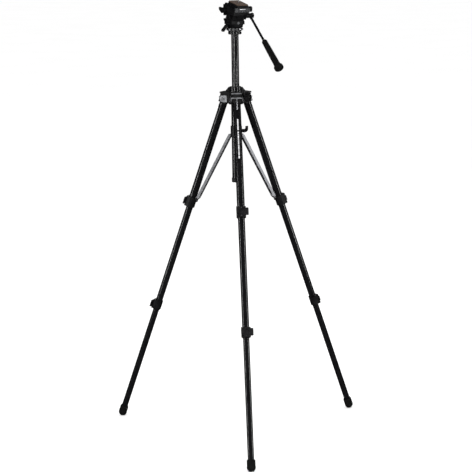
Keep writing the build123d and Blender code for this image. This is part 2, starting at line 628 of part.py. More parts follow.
with BuildPart() as spreader_hub:
    with BuildSketch(COLUMN.offset(HUB_BOTTOM)):
        Circle(HUB_RADIUS)
    extrude(amount=HUB_TOP - HUB_BOTTOM)
    chamfer(spreader_hub.edges().filter_by(GeomType.CIRCLE), 1.2)
    for hub_frame in HUB_FRAMES:
        with BuildSketch(facing(hub_frame, "right", x=-HUB_LUG_HALF)):
            with Locations((-HUB_PIVOT_RADIUS, HUB_PIVOT_HEIGHT)):
                Circle(BRACE_PIN_RADIUS + 2.0)
                Rectangle(8, 2 * BRACE_PIN_RADIUS + 4, align=(Align.MIN, Align.CENTER))
        extrude(amount=2 * HUB_LUG_HALF)
        with BuildSketch(facing(hub_frame, "right", x=-20)):
            with Locations((-HUB_PIVOT_RADIUS, HUB_PIVOT_HEIGHT)):
                Circle(BRACE_PIN_RADIUS)
        extrude(amount=40, mode=Mode.SUBTRACT)
    with BuildSketch(COLUMN.offset(HUB_BOTTOM)):
        Circle(GUIDE_RADIUS + RUNNING)
    extrude(amount=HUB_TOP - HUB_BOTTOM, mode=Mode.SUBTRACT)
    with BuildSketch(facing(HUB_KNOB_FRAME, "rear", y=-HUB_RADIUS + 1, z=HUB_KNOB_HEIGHT)):
        Circle(6.5)
    extrude(amount=4)
    with BuildSketch(facing(HUB_KNOB_FRAME, "rear", y=-GUIDE_RADIUS + 2, z=HUB_KNOB_HEIGHT)):
        Circle(2.5 + RUNNING)
    extrude(amount=12, mode=Mode.SUBTRACT)
finish(spreader_hub.part, "spreader_hub")

with BuildPart() as hub_pins:
    for hub_frame in HUB_FRAMES:
        with BuildSketch(facing(hub_frame, "right", x=-BRACE_WIDTH / 2 - 1)):
            with Locations((-HUB_PIVOT_RADIUS, HUB_PIVOT_HEIGHT)):
                Circle(BRACE_PIN_RADIUS)
        extrude(amount=BRACE_WIDTH + 2)
finish(hub_pins.part, "hub_pins")

with BuildPart() as hub_lock_knob:
    with BuildSketch(facing(HUB_KNOB_FRAME, "rear", y=-GUIDE_RADIUS - 0.2, z=HUB_KNOB_HEIGHT)):
        Circle(2.5)
    extrude(amount=12)
    with BuildSketch(facing(HUB_KNOB_FRAME, "rear", y=-HUB_RADIUS - 3.5, z=HUB_KNOB_HEIGHT)):
        Circle(6.5)
    extrude(amount=7)
    with BuildSketch(facing(HUB_KNOB_FRAME, "right", x=-5)):
        with BuildLine():
            Line((-26, HUB_KNOB_HEIGHT + 5), (-26, HUB_KNOB_HEIGHT - 5))
            TangentArc((-26, HUB_KNOB_HEIGHT - 5), (-46, HUB_KNOB_HEIGHT + 6), tangent=(-1, -0.5))
            Line((-46, HUB_KNOB_HEIGHT + 6), (-46, HUB_KNOB_HEIGHT + 18))
            Line((-46, HUB_KNOB_HEIGHT + 18), (-39, HUB_KNOB_HEIGHT + 18))
            Line((-39, HUB_KNOB_HEIGHT + 18), (-38, HUB_KNOB_HEIGHT + 10))
            Line((-38, HUB_KNOB_HEIGHT + 10), (-34, HUB_KNOB_HEIGHT + 5))
            Line((-34, HUB_KNOB_HEIGHT + 5), (-26, HUB_KNOB_HEIGHT + 5))
        make_face()
    extrude(amount=10)
finish(hub_lock_knob.part, "hub_lock_knob")

# ---------------------------------------------------------------- head: pan housing
HOUSING_FLOOR = BASE_TOP + GAP
HOUSING_HALF = 21.0
WALL_TOP = TILT_HEIGHT + 0.8
REAR_WALL, FRONT_WALL = -31.0, 34.0
PAN_LEVER_Y, PAN_LEVER_HEIGHT, PAN_BOSS_FACE = 8.0, 1562.5, 24.0
PAN_BOSS_RADIUS = 5.0
BUTTON_HEIGHT, BUTTON_RADIUS = 1573.5, 5.5
CLAMP_PIN_RADIUS = 3.0

with BuildPart() as pan_housing:
    with BuildSketch(facing(HEAD, "right", x=-CHEEK_OUTER)):
        with BuildLine():
            Polyline((REAR_WALL, WALL_TOP), (REAR_WALL, 1570), (-25, HOUSING_FLOOR), (27, HOUSING_FLOOR),
                     (FRONT_WALL, 1570), (FRONT_WALL, WALL_TOP), close=True)
        make_face()
        with Locations((0, TILT_HEIGHT)):
            Circle(CHEEK_RADIUS)
    extrude(amount=2 * CHEEK_OUTER)
    with BuildSketch(HEAD.offset(HOUSING_FLOOR)):
        Circle(CHEEK_RADIUS * 2)
    extrude(amount=-CHEEK_RADIUS, mode=Mode.SUBTRACT)
    with BuildSketch(HEAD.offset(HOUSING_FLOOR)):
        with Locations((HOUSING_HALF, 0)):
            Rectangle(20, 100, align=(Align.MIN, Align.CENTER))
        with Locations((-HOUSING_HALF, 0)):
            Rectangle(20, 100, align=(Align.MAX, Align.CENTER))
    extrude(amount=1568 - HOUSING_FLOOR, mode=Mode.SUBTRACT)
    with BuildSketch(facing(HEAD, "right", x=-CHEEK_INNER)):
        with Locations((0, TILT_HEIGHT)):
            Circle(TILT_BARREL_RADIUS + GAP)
            Rectangle(2 * (TILT_BARREL_RADIUS + GAP), 40, align=(Align.CENTER, Align.MIN))
        with Locations((0, WALL_TOP)):
            Rectangle(120, 40, align=(Align.CENTER, Align.MIN))
    extrude(amount=2 * CHEEK_INNER, mode=Mode.SUBTRACT)
    with BuildSketch(facing(HEAD, "right", x=-40)):
        with Locations((0, TILT_HEIGHT)):
            Circle(TILT_AXLE_RADIUS)
    extrude(amount=80, mode=Mode.SUBTRACT)
    with BuildSketch(facing(HEAD, "rear", y=REAR_WALL, z=HOUSING_FLOOR)):
        with Locations((0, -6)):
            Circle(14)
    extrude(amount=-3.5, mode=Mode.SUBTRACT)
    with BuildSketch(facing(HEAD, "rear", y=REAR_WALL, z=BUTTON_HEIGHT)):
        Circle(BUTTON_RADIUS + RUNNING)
    extrude(amount=-4.5, mode=Mode.SUBTRACT)
    with BuildSketch(facing(HEAD, "left", x=-HOUSING_HALF, y=PAN_LEVER_Y, z=PAN_LEVER_HEIGHT)):
        Circle(PAN_BOSS_RADIUS)
    extrude(amount=PAN_BOSS_FACE - HOUSING_HALF)
    with BuildSketch(facing(HEAD, "left", x=-PAN_BOSS_FACE, y=PAN_LEVER_Y, z=PAN_LEVER_HEIGHT)):
        Circle(CLAMP_PIN_RADIUS + RUNNING)
    extrude(amount=-4, mode=Mode.SUBTRACT)
finish(pan_housing.part, "pan_housing")

with BuildPart() as tilt_axle:
    with BuildSketch(facing(HEAD, "right", x=-CHEEK_OUTER + 1)):
        with Locations((0, TILT_HEIGHT)):
            Circle(TILT_AXLE_RADIUS)
    extrude(amount=2 * CHEEK_OUTER - 1)
    with BuildSketch(facing(HEAD, "right", x=CHEEK_OUTER)):
        with Locations((0, TILT_HEIGHT)):
            Circle(11)
    extrude(amount=3.5, taper=20)
    with BuildSketch(facing(HEAD, "right", x=-CHEEK_OUTER + 1)):
        with Locations((0, TILT_HEIGHT)):
            Circle(CLAMP_PIN_RADIUS + RUNNING)
    extrude(amount=10, mode=Mode.SUBTRACT)
finish(tilt_axle.part, "tilt_axle")

with BuildPart() as drag_button:
    with BuildSketch(facing(HEAD, "rear", y=REAR_WALL + 2.8, z=BUTTON_HEIGHT)):
        Circle(BUTTON_RADIUS)
    extrude(amount=5.0)
    fillet(drag_button.faces().sort_by(Axis(HEAD.origin, -HEAD.y_dir))[-1].edges(), 1.2)
finish(drag_button.part, "drag_button")

with BuildPart() as pan_lock_lever:
    with BuildSketch(facing(HEAD, "left", x=-PAN_BOSS_FACE + 3.5, y=PAN_LEVER_Y, z=PAN_LEVER_HEIGHT)):
        Circle(CLAMP_PIN_RADIUS)
    extrude(amount=5)
    with BuildSketch(facing(HEAD, "left", x=-PAN_BOSS_FACE - GAP, y=PAN_LEVER_Y, z=PAN_LEVER_HEIGHT)):
        Circle(PAN_BOSS_RADIUS)
    extrude(amount=8)
    with BuildSketch(facing(HEAD, "front", y=PAN_LEVER_Y - 5.5)):
        with BuildLine():
            Polyline((27, 1567.5), (34, 1567.5), (50, 1548), (48, 1542), (42, 1541.5), (27, 1561), close=True)
        make_face()
    extrude(amount=11)
finish(pan_lock_lever.part, "pan_lock_lever")

# ---------------------------------------------------------------- head: tilting part
RIB_PITCH, RIBS = 8.4, 6

with BuildPart() as tilt_block:
    with BuildSketch(facing(TILT, "right", x=-CHEEK_INNER + GAP)):
        Circle(TILT_BARREL_RADIUS)
        Rectangle(30, SLAB_TOP, align=(Align.CENTER, Align.MIN))
    extrude(amount=2 * (CHEEK_INNER - GAP))
    with BuildSketch(TILT.offset(SLAB_BOTTOM)):
        with Locations((0, 1.5)):
            Rectangle(2 * CHEEK_OUTER, 89)
    extrude(amount=SLAB_TOP - SLAB_BOTTOM)
    with BuildSketch(TILT.offset(14)):
        with Locations((0, -43)):
            Rectangle(2 * CHEEK_OUTER, 7, align=(Align.CENTER, Align.MIN))
        with Locations((0, 46)):
            Rectangle(2 * CHEEK_OUTER, 8, align=(Align.CENTER, Align.MAX))
    extrude(amount=SLAB_BOTTOM - 14)
    with BuildSketch(facing(TILT, "rear", y=-43, z=14)):
        with GridLocations(RIB_PITCH, 1, RIBS, 1):
            Rectangle(3.4, 14, align=(Align.CENTER, Align.MIN))
    extrude(amount=-2.6, mode=Mode.SUBTRACT)
    with BuildSketch(facing(TILT, "right", x=-40)):
        Circle(TILT_AXLE_RADIUS + RUNNING)
    extrude(amount=80, mode=Mode.SUBTRACT)
finish(tilt_block.part, "tilt_block")

BRACKET_INNER, BRACKET_OUTER = 17.5, 30.5
PLATFORM_REAR, PLATFORM_FRONT = -60.0, 46.0
PLATFORM_LENGTH = PLATFORM_FRONT - PLATFORM_REAR
PLATFORM_MIDDLE = (PLATFORM_FRONT + PLATFORM_REAR) / 2
RAIL_OUTER, RAIL_FOOT, RAIL_LIP = 25.0, 18.0, 15.0  # dovetail half-widths
KNUCKLE_RADIUS = 9.0
LEVER_Y, LEVER_Z = 15.0, 38.0  # pivot of the plate lever
CATCH_Y, CATCH_Z = -47.5, 51.0
CATCH_TRAVEL = 1.5

with BuildPart() as platform:
    with BuildSketch(TILT.offset(SLAB_TOP)):
        with Locations((0, PLATFORM_MIDDLE)):
            RectangleRounded(2 * PLATFORM_HALF, PLATFORM_LENGTH, 4)
    extrude(amount=PLATFORM_TOP - SLAB_TOP)
    chamfer(platform.faces().sort_by(Axis(TILT.origin, TILT.z_dir))[0].edges(), 3.0)
    with BuildSketch(facing(TILT, "rear", y=PLATFORM_REAR, z=PLATFORM_TOP)):
        with Locations((0, (RAIL_TOP - PLATFORM_TOP) / 2)):
            Rectangle(2 * RAIL_OUTER, RAIL_TOP - PLATFORM_TOP)
        Polygon((-RAIL_FOOT, 0), (RAIL_FOOT, 0), (RAIL_LIP, 6), (-RAIL_LIP, 6), align=None, mode=Mode.SUBTRACT)
    extrude(amount=-PLATFORM_LENGTH + 4)
    with BuildSketch(facing(TILT, "right", x=BRACKET_INNER)):
        with Locations((HANDLE_Y, HANDLE_Z)):
            Circle(KNUCKLE_RADIUS)
        with Locations((HANDLE_Y + 0.5, HANDLE_Z)):
            Rectangle(16, SLAB_TOP + 6 - HANDLE_Z, align=(Align.CENTER, Align.MIN))
    extrude(amount=BRACKET_OUTER - BRACKET_INNER)
    with BuildSketch(facing(TILT, "right", x=BRACKET_INNER)):
        with Locations((HANDLE_Y, HANDLE_Z)):
            Circle(CLAMP_PIN_RADIUS + RUNNING)
    extrude(amount=BRACKET_OUTER - BRACKET_INNER, mode=Mode.SUBTRACT)
    with BuildSketch(facing(TILT, "left", x=-PLATFORM_HALF, y=LEVER_Y, z=LEVER_Z)):
        Circle(7)
    extrude(amount=3)
    with BuildSketch(facing(TILT, "left", x=-PLATFORM_HALF - 3, y=LEVER_Y, z=LEVER_Z)):
        Circle(CLAMP_PIN_RADIUS + RUNNING)
    extrude(amount=-14, mode=Mode.SUBTRACT)
    with BuildSketch(facing(TILT, "right", x=PLATFORM_HALF)):
        with Locations((CATCH_Y, CATCH_Z)):
            Circle(CLAMP_PIN_RADIUS + RUNNING)
    extrude(amount=-14, mode=Mode.SUBTRACT)
finish(platform.part, "platform")

BAR_THICKNESS, BAR_BOTTOM, BAR_TOP = 5.0, 45.7, 61.7

with BuildPart() as rear_clamp_bar:
    with BuildSketch(facing(TILT, "rear", y=PLATFORM_REAR, z=(BAR_BOTTOM + BAR_TOP) / 2)):
        RectangleRounded(2 * PLATFORM_HALF, BAR_TOP - BAR_BOTTOM, 3)
        with Locations((0, 3.4)):
            SlotOverall(25, 3.4, mode=Mode.SUBTRACT)
    extrude(amount=BAR_THICKNESS)
    with BuildSketch(facing(TILT, "rear", y=PLATFORM_REAR - BAR_THICKNESS, z=(BAR_BOTTOM + BAR_TOP) / 2)):
        with Locations((0, -3.2)):
            SlotOverall(44, 4.5)
    extrude(amount=-1.2, mode=Mode.SUBTRACT)
finish(rear_clamp_bar.part, "rear_clamp_bar")

with BuildPart() as tilt_lock_knob:
    with BuildSketch(facing(HEAD, "left", x=-CHEEK_OUTER + 9.5, z=TILT_HEIGHT)):
        Circle(CLAMP_PIN_RADIUS)
    extrude(amount=9.8)
    with BuildSketch(facing(HEAD, "left", x=-CHEEK_OUTER - GAP, z=TILT_HEIGHT)):
        Circle(10)
    extrude(amount=8)
    with BuildSketch(facing(HEAD, "left", x=-CHEEK_OUTER - GAP - 3, z=TILT_HEIGHT)):
        with Locations(Rot(0, 0, 150)):
            SlotCenterPoint((0, 0), (15, 0), 8)
    extrude(amount=8)
    with BuildSketch(facing(HEAD, "left", x=-CHEEK_OUTER - GAP - 8, z=TILT_HEIGHT)):
        Circle(6)
    extrude(amount=3.5, taper=20)
finish(tilt_lock_knob.part, "tilt_lock_knob")

# ---------------------------------------------------------------- head: quick release plate
PLATE_REAR, PLATE_FRONT, PLATE_HALF = -68.0, 20.0, 22.0
SCREW_HEAD_RADIUS = 8.5
SCREW_HEAD_BOTTOM, SCREW_HEAD_TOP = PLATFORM_TOP + 0.8, PLATFORM_TOP + 7.6
SCREW_NECK_RADIUS = 2.7  # under the thread, so the screw stays in its plate
CAMERA_SCREW_REACH = 5.5  # above the pad

with BuildPart() as quick_plate:
    with BuildSketch(TILT.offset(RAIL_TOP + GAP)):
        with Locations((0, (PLATE_REAR + PLATE_FRONT) / 2)):
            RectangleRounded(2 * PLATE_HALF, PLATE_FRONT - PLATE_REAR, 3)
    extrude(amount=PLATE_TOP - RAIL_TOP - GAP)
    with BuildSketch(facing(TILT, "rear", y=PLATFORM_REAR + 1, z=PLATFORM_TOP)):
        Polygon((-17.4, GAP), (17.4, GAP), (14.5, 6.5), (-14.5, 6.5), align=None)
    extrude(amount=-78)
    with BuildSketch(TILT.offset(PLATFORM_TOP)):
        with Locations((0, CAMERA_SCREW_Y)):
            Circle(SCREW_HEAD_RADIUS + 0.5)
    extrude(amount=8, mode=Mode.SUBTRACT)
    with BuildSketch(TILT.offset(PLATFORM_TOP)):
        with Locations((0, CAMERA_SCREW_Y)):
            Circle(CAMERA_SCREW_RADIUS + RUNNING)
    extrude(amount=20, mode=Mode.SUBTRACT)
    chamfer(quick_plate.faces().sort_by(Axis(TILT.origin, TILT.z_dir))[-1].outer_wire().edges(), 0.8)
finish(quick_plate.part, "quick_plate")

with BuildPart() as plate_pad:
    with BuildSketch(TILT.offset(PLATE_TOP)):
        with Locations((0, (PLATE_REAR + PLATE_FRONT) / 2)):
            RectangleRounded(2 * PLATE_HALF - 3, PLATE_FRONT - PLATE_REAR - 4, 2.5)
        with Locations((0, CAMERA_SCREW_Y)):
            Circle(CAMERA_SCREW_RADIUS + 1, mode=Mode.SUBTRACT)
    extrude(amount=PAD_TOP - PLATE_TOP)
finish(plate_pad.part, "plate_pad")

with BuildPart() as camera_screw:
    with BuildSketch(TILT.offset(SCREW_HEAD_BOTTOM)):
        with Locations((0, CAMERA_SCREW_Y)):
            Circle(SCREW_HEAD_RADIUS)
    extrude(amount=SCREW_HEAD_TOP - SCREW_HEAD_BOTTOM)
    with BuildSketch(TILT.offset(SCREW_HEAD_TOP)):
        with Locations((0, CAMERA_SCREW_Y)):
            Circle(SCREW_NECK_RADIUS)
    extrude(amount=PAD_TOP - SCREW_HEAD_TOP)
    with BuildSketch(TILT.offset(PAD_TOP)):
        with Locations((0, CAMERA_SCREW_Y)):
            Circle(CAMERA_SCREW_RADIUS)
    extrude(amount=CAMERA_SCREW_REACH)
    chamfer(camera_screw.faces().sort_by(Axis(TILT.origin, TILT.z_dir))[-1].edges(), 0.6)
    with BuildSketch(TILT.offset(SCREW_HEAD_BOTTOM)):
        with Locations((0, CAMERA_SCREW_Y)):
            Rectangle(14, 1.6)
    extrude(amount=2, mode=Mode.SUBTRACT)
finish(camera_screw.part, "camera_screw")

with BuildPart() as plate_lever:
    with BuildSketch(facing(TILT, "left", x=-PLATFORM_HALF + 9, y=LEVER_Y, z=LEVER_Z)):
        Circle(CLAMP_PIN_RADIUS)
    extrude(amount=14)
    with BuildSketch(facing(TILT, "left", x=-PLATFORM_HALF - 3 - GAP, y=LEVER_Y, z=LEVER_Z)):
        Circle(8)
    extrude(amount=8)
    with BuildSketch(facing(TILT, "left", x=-PLATFORM_HALF - 6, y=LEVER_Y, z=LEVER_Z)):
        with BuildLine():
            Polyline((-2, -8), (-12, -12), (-34, -4), (-38, 2), (-37, 6), (-16, 8), (0, 8), close=True)
        make_face()
    extrude(amount=7.5)
finish(plate_lever.part, "plate_lever")

with BuildPart() as plate_catch:
    with BuildSketch(facing(TILT, "right", x=PLATFORM_HALF - 10)):
        with Locations((CATCH_Y, CATCH_Z)):
            Circle(CLAMP_PIN_RADIUS)
    extrude(amount=12 + CATCH_TRAVEL)
    with BuildSketch(facing(TILT, "right", x=PLATFORM_HALF + CATCH_TRAVEL + GAP)):
        with BuildLine():
            Polyline((-55, 45.5), (-40, 45.5), (-40, 61), (-43, 64), (-52, 64), (-55, 61), close=True)
        make_face()
    extrude(amount=12)
    chamfer(plate_catch.faces().sort_by(Axis(TILT.origin, TILT.x_dir))[-1].edges(), 1.5)
finish(plate_catch.part, "plate_catch")

# ---------------------------------------------------------------- head: pan handle
HANDLE_BAR_RADIUS = 4.8
GRIP_START, GRIP_FLARE, GRIP_END = 147.0, 285.0, 302.0
GRIP_SOCKET = 60.0
KNUCKLE_INNER = BRACKET_OUTER + GAP - HANDLE_X
KNUCKLE_OUTER = 4.5
HANDLE_AXIS = Axis(HANDLE.origin, HANDLE.z_dir)

with BuildPart() as handle_bar:
    with BuildSketch(facing(HANDLE, "right", x=KNUCKLE_INNER)):
        Circle(KNUCKLE_RADIUS)
        with Locations((0, 8)):
            Rectangle(11, 16)
    extrude(amount=KNUCKLE_OUTER - KNUCKLE_INNER)
    with BuildSketch(HANDLE.offset(10)):
        Circle(HANDLE_BAR_RADIUS)
    extrude(amount=GRIP_START + GRIP_SOCKET - 10)
    with BuildSketch(facing(HANDLE, "right", x=KNUCKLE_INNER)):
        Circle(CLAMP_PIN_RADIUS + RUNNING)
    extrude(amount=KNUCKLE_OUTER - KNUCKLE_INNER, mode=Mode.SUBTRACT)
finish(handle_bar.part, "handle_bar")

with BuildPart() as handle_grip:
    with BuildSketch(facing(HANDLE, "right")):
        with BuildLine():
            Polyline((0, GRIP_START), (8.5, GRIP_START), (10, GRIP_START + 4), (10, GRIP_START + 14),
                     (10.8, GRIP_START + 24), (12, GRIP_FLARE - 12), (13.5, GRIP_FLARE), (17, GRIP_FLARE + 5),
                     (17, GRIP_END - 3), (15, GRIP_END - 1), (11, GRIP_END - 1), (10, GRIP_END),
                     (0, GRIP_END), close=True)
        make_face()
    revolve(axis=HANDLE_AXIS)
    with BuildSketch(HANDLE.offset(GRIP_START)):
        Circle(HANDLE_BAR_RADIUS)
    extrude(amount=GRIP_SOCKET, mode=Mode.SUBTRACT)
    with BuildSketch(HANDLE.offset(GRIP_START + 20)):
        with PolarLocations(12.6, 12):
            Circle(1.7)
    extrude(amount=GRIP_FLARE - GRIP_START - 32, mode=Mode.SUBTRACT)
finish(handle_grip.part, "handle_grip")

with BuildPart() as handle_clamp_knob:
    with BuildSketch(facing(HANDLE, "right", x=BRACKET_INNER + 1 - HANDLE_X)):
        Circle(CLAMP_PIN_RADIUS)
    extrude(amount=HANDLE_X + KNUCKLE_OUTER + GAP - BRACKET_INNER)
    with BuildSketch(facing(HANDLE, "right", x=KNUCKLE_OUTER + GAP)):
        lobed_outline(10.5, 2.6, 7)
    extrude(amount=7)
    with BuildSketch(facing(HANDLE, "right", x=KNUCKLE_OUTER + GAP + 7)):
        Circle(6.5)
    extrude(amount=2.5, taper=25)
finish(handle_clamp_knob.part, "handle_clamp_knob")
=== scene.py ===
import json
from math import cos, pi, radians, sin, tau

import bmesh
import bpy
from bpy.props import FloatProperty, FloatVectorProperty, IntProperty, PointerProperty
from mathutils import Matrix, Vector


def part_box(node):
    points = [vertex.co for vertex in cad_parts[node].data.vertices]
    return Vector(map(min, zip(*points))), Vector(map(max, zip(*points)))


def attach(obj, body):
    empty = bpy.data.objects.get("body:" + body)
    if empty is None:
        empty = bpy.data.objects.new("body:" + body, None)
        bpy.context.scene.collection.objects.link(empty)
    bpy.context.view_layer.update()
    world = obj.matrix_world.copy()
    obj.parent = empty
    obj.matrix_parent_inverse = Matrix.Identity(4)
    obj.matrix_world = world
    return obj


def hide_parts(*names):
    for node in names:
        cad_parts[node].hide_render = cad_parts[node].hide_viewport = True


bl_info = {
    "name": "Video Tripod",
    "version": (1, 0, 0),
    "blender": (4, 5, 0),
    "location": "View3D > Sidebar > Tripod",
    "description": "Finishes and small parts of a folding video tripod with a pan and tilt head",
    "category": "Object",
}

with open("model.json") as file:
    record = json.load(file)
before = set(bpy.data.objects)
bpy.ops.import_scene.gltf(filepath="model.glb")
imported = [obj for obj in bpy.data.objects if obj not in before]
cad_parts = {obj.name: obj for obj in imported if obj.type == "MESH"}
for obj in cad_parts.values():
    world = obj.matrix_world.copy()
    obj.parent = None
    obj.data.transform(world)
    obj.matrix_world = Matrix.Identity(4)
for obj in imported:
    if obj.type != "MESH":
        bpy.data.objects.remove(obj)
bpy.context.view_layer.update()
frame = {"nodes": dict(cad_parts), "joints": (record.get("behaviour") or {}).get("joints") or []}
LEGS = ("front", "left", "right")
MM = 0.001

# Sizes shared with the solid parts, in millimetres. Stations are distances down a leg from its hinge.
UPPER_TUBE, MIDDLE_TUBE, LOWER_TUBE = 14.5, 13.1, 11.8
LEG_LOCKS = (
    # name, body, radius of the outer tube, radius of the tube inside, first and last station
    ("upper", "leg", UPPER_TUBE, MIDDLE_TUBE, 410.0, 450.0),
    ("lower", "mid", MIDDLE_TUBE, LOWER_TUBE, 858.0, 895.0),
)
LOCK_FACE = 3.3 + 1.2  # from the outer tube to the face under the lever
LEVER_GAP, LEVER_THICKNESS = 0.3, 3.0
FOOT_TOP, FOOT_PLUG, FOOT_RADIUS = 1336.0, 1346.0, 16.5
FOOT_DOME_HEIGHT = 15.6  # of the dome's centre above the floor
GROOVE_FLOOR = 12.9  # from the upper tube's axis
HANDLE_DROOP = 27.0  # degrees below the camera plate
REAR_BAR_FACE = -65.0  # from the tilt axis
GRIP_START, GRIP_RIM, GRIP_END = 147.0, 290.0, 302.0  # distances down the handle from its pivot
SCREW_HEAD = (-9.2, -2.4, 8.5)  # bottom, top and radius, from the camera screw's joint
SCREW_TOP, THREAD_START = 14.4, 9.2
SCREW_CORE, THREAD_ROOT, THREAD_CREST = 2.65, 2.5, 3.15


# ---------------------------------------------------------------- places taken from the joints
def joint(name):
    """The joint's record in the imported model."""
    return next(entry for entry in frame["joints"] if entry["name"] == name)


def frame_matrix(origin, across, down):
    """A local frame with X across and Z down, in metres."""
    across, down = Vector(across).normalized(), Vector(down).normalized()
    along = down.cross(across).normalized()
    matrix = Matrix((across, along, down)).transposed().to_4x4()
    matrix.translation = Vector(origin)
    return matrix


def leg_matrix(leg):
    """Origin on the leg's hinge, X along the hinge, Y outwards and Z down the leg."""
    fold = joint(f"leg_fold_{leg}")
    return frame_matrix(fold["pos_m"], fold["axis"], joint(f"middle_section_{leg}")["axis"])


def brace_matrix(leg):
    """Origin on the hub's pivot, with Z down the brace arm."""
    fold = joint(f"brace_fold_{leg}")
    low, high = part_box(f"brace_arm_{leg}")
    middle = (Vector(low) + Vector(high)) / 2
    return frame_matrix(fold["pos_m"], fold["axis"], middle - Vector(fold["pos_m"]))


def tilt_matrix():
    """Origin on the tilt axis, X along it and Z square to the camera plate."""
    tilt = joint("tilt")
    return frame_matrix(tilt["pos_m"], tilt["axis"], joint("camera_screw_turn")["axis"])


def handle_matrix():
    """Origin on the handle's pivot, Z down the bar."""
    pivot = joint("handle_angle")
    table = tilt_matrix().to_3x3()
    droop = radians(HANDLE_DROOP)
    down = -(table @ Vector((0, 1, 0))) * cos(droop) - (table @ Vector((0, 0, 1))) * sin(droop)
    return frame_matrix(pivot["pos_m"], pivot["axis"], down)


# ---------------------------------------------------------------- mesh building
def block(bm, low, high, bevel=0.0, segments=2):
    """A box between two corners in millimetres, with rounded edges."""
    low, high = Vector(low) * MM, Vector(high) * MM
    made = bmesh.ops.create_cube(bm, size=1.0)
    verts = made["verts"]
    bmesh.ops.scale(bm, vec=high - low, verts=verts)
    bmesh.ops.translate(bm, vec=(high + low) / 2, verts=verts)
    if bevel:
        edges = list({edge for vert in verts for edge in vert.link_edges})
        bmesh.ops.bevel(
            bm, geom=edges, offset=bevel * MM, offset_type="OFFSET", affect="EDGES",
            segments=segments, profile=0.5, material=-1,
        )


def lathe(bm, profile, steps=48):
    """A turned shape about the local Z axis, from (radius, height) points in mm."""
    verts = [bm.verts.new((r * MM, 0, z * MM)) for r, z in profile]
    edges = [bm.edges.new(pair) for pair in zip(verts, verts[1:])]
    bmesh.ops.spin(
        bm, geom=verts + edges, cent=(0, 0, 0), axis=(0, 0, 1),
        angle=tau, steps=steps, use_merge=True, use_duplicate=False,
    )


def stud(bm, centre, facing, foot, tip, height, sides):
    """A tapered bolt or nut head along local Y, facing 1 forwards or -1 backwards, in millimetres."""
    made = bmesh.ops.create_cone(
        bm, cap_ends=True, segments=sides, radius1=foot * MM, radius2=tip * MM, depth=height * MM,
    )
    place = Matrix.Translation(Vector(centre) * MM) @ Matrix.Rotation(-facing * pi / 2, 4, "X")
    bmesh.ops.transform(bm, matrix=place, verts=made["verts"])


def add_piece(name, bm, matrix, body, material, sharp=35.0, replaced=()):
    """Turns a bmesh into a finished piece that rides on a moving body of the tripod."""
    bmesh.ops.remove_doubles(bm, verts=bm.verts, dist=0.00001)
    bmesh.ops.recalc_face_normals(bm, faces=bm.faces)
    bmesh.ops.transform(bm, matrix=matrix, verts=bm.verts)
    mesh = bpy.data.meshes.new(name)
    bm.to_mesh(mesh)
    bm.free()
    mesh.shade_smooth()
    mesh.set_sharp_from_angle(angle=radians(sharp))
    mesh.materials.append(material)
    piece = bpy.data.objects.new(name, mesh)
    bpy.context.scene.collection.objects.link(piece)
    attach(piece, body)
    if replaced:
        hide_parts(*replaced)
    return piece


# ---------------------------------------------------------------- materials
def shader(name, colour, roughness, metallic=0.0, specular=0.5, coat=0.0):
    """A new material with its constants set on the surface shader."""
    material = bpy.data.materials.get(name)
    if material:
        return material, None
    material = bpy.data.materials.new(name)
    material.use_nodes = True
    surface = material.node_tree.nodes["Principled BSDF"]
    surface.inputs["Base Color"].default_value = (*colour, 1.0)
    surface.inputs["Roughness"].default_value = roughness
    surface.inputs["Metallic"].default_value = metallic
    surface.inputs["Specular IOR Level"].default_value = specular
    surface.inputs["Coat Weight"].default_value = coat
    surface.inputs["Coat Roughness"].default_value = 0.12
    return material, surface


def pattern_space(tree, matrix=None, size=(1.0, 1.0, 1.0)):
    """Object coordinates turned to a part's own frame and divided by a pattern size in millimetres."""
    place = tree.nodes.new("ShaderNodeTexCoord")
    turned = tree.nodes.new("ShaderNodeMapping")
    turned.vector_type = "TEXTURE"
    if matrix:
        turned.inputs["Location"].default_value = matrix.to_translation()
        turned.inputs["Rotation"].default_value = matrix.to_euler()
    turned.inputs["Scale"].default_value = [value * MM for value in size]
    tree.links.new(place.outputs["Object"], turned.inputs["Vector"])
    return turned.outputs["Vector"]


def noise(tree, space, detail=3.0, scale=1.0, rough=0.55):
    """Fractal noise in a pattern space."""
    node = tree.nodes.new("ShaderNodeTexNoise")
    node.inputs["Scale"].default_value = scale
    node.inputs["Detail"].default_value = detail
    node.inputs["Roughness"].default_value = rough
    tree.links.new(space, node.inputs["Vector"])
    return node.outputs["Fac"]


def vary(tree, fac, surface, socket, low, high):
    """Drives a number on the surface between two values."""
    spread = tree.nodes.new("ShaderNodeMapRange")
    spread.inputs["From Min"].default_value = 0.3
    spread.inputs["From Max"].default_value = 0.7
    spread.inputs["To Min"].default_value = low
    spread.inputs["To Max"].default_value = high
    tree.links.new(fac, spread.inputs["Value"])
    tree.links.new(spread.outputs["Result"], surface.inputs[socket])


def tint(tree, fac, surface, dark, light, low=0.35, high=0.65):
    """Colours the surface between two tones."""
    ramp = tree.nodes.new("ShaderNodeValToRGB")
    ramp.color_ramp.elements[0].position = low
    ramp.color_ramp.elements[0].color = (*dark, 1.0)
    ramp.color_ramp.elements[1].position = high
    ramp.color_ramp.elements[1].color = (*light, 1.0)
    tree.links.new(fac, ramp.inputs["Fac"])
    tree.links.new(ramp.outputs["Color"], surface.inputs["Base Color"])


def relief(tree, fac, surface, depth, strength=1.0):
    """Raises the surface by a pattern, depth in millimetres."""
    bump = tree.nodes.new("ShaderNodeBump")
    bump.inputs["Distance"].default_value = depth * MM
    bump.inputs["Strength"].default_value = strength
    tree.links.new(fac, bump.inputs["Height"])
    tree.links.new(bump.outputs["Normal"], surface.inputs["Normal"])


def scaled(colour, factor):
    """A colour made lighter or darker."""
    return tuple(min(1.0, channel * factor) for channel in colour[:3])


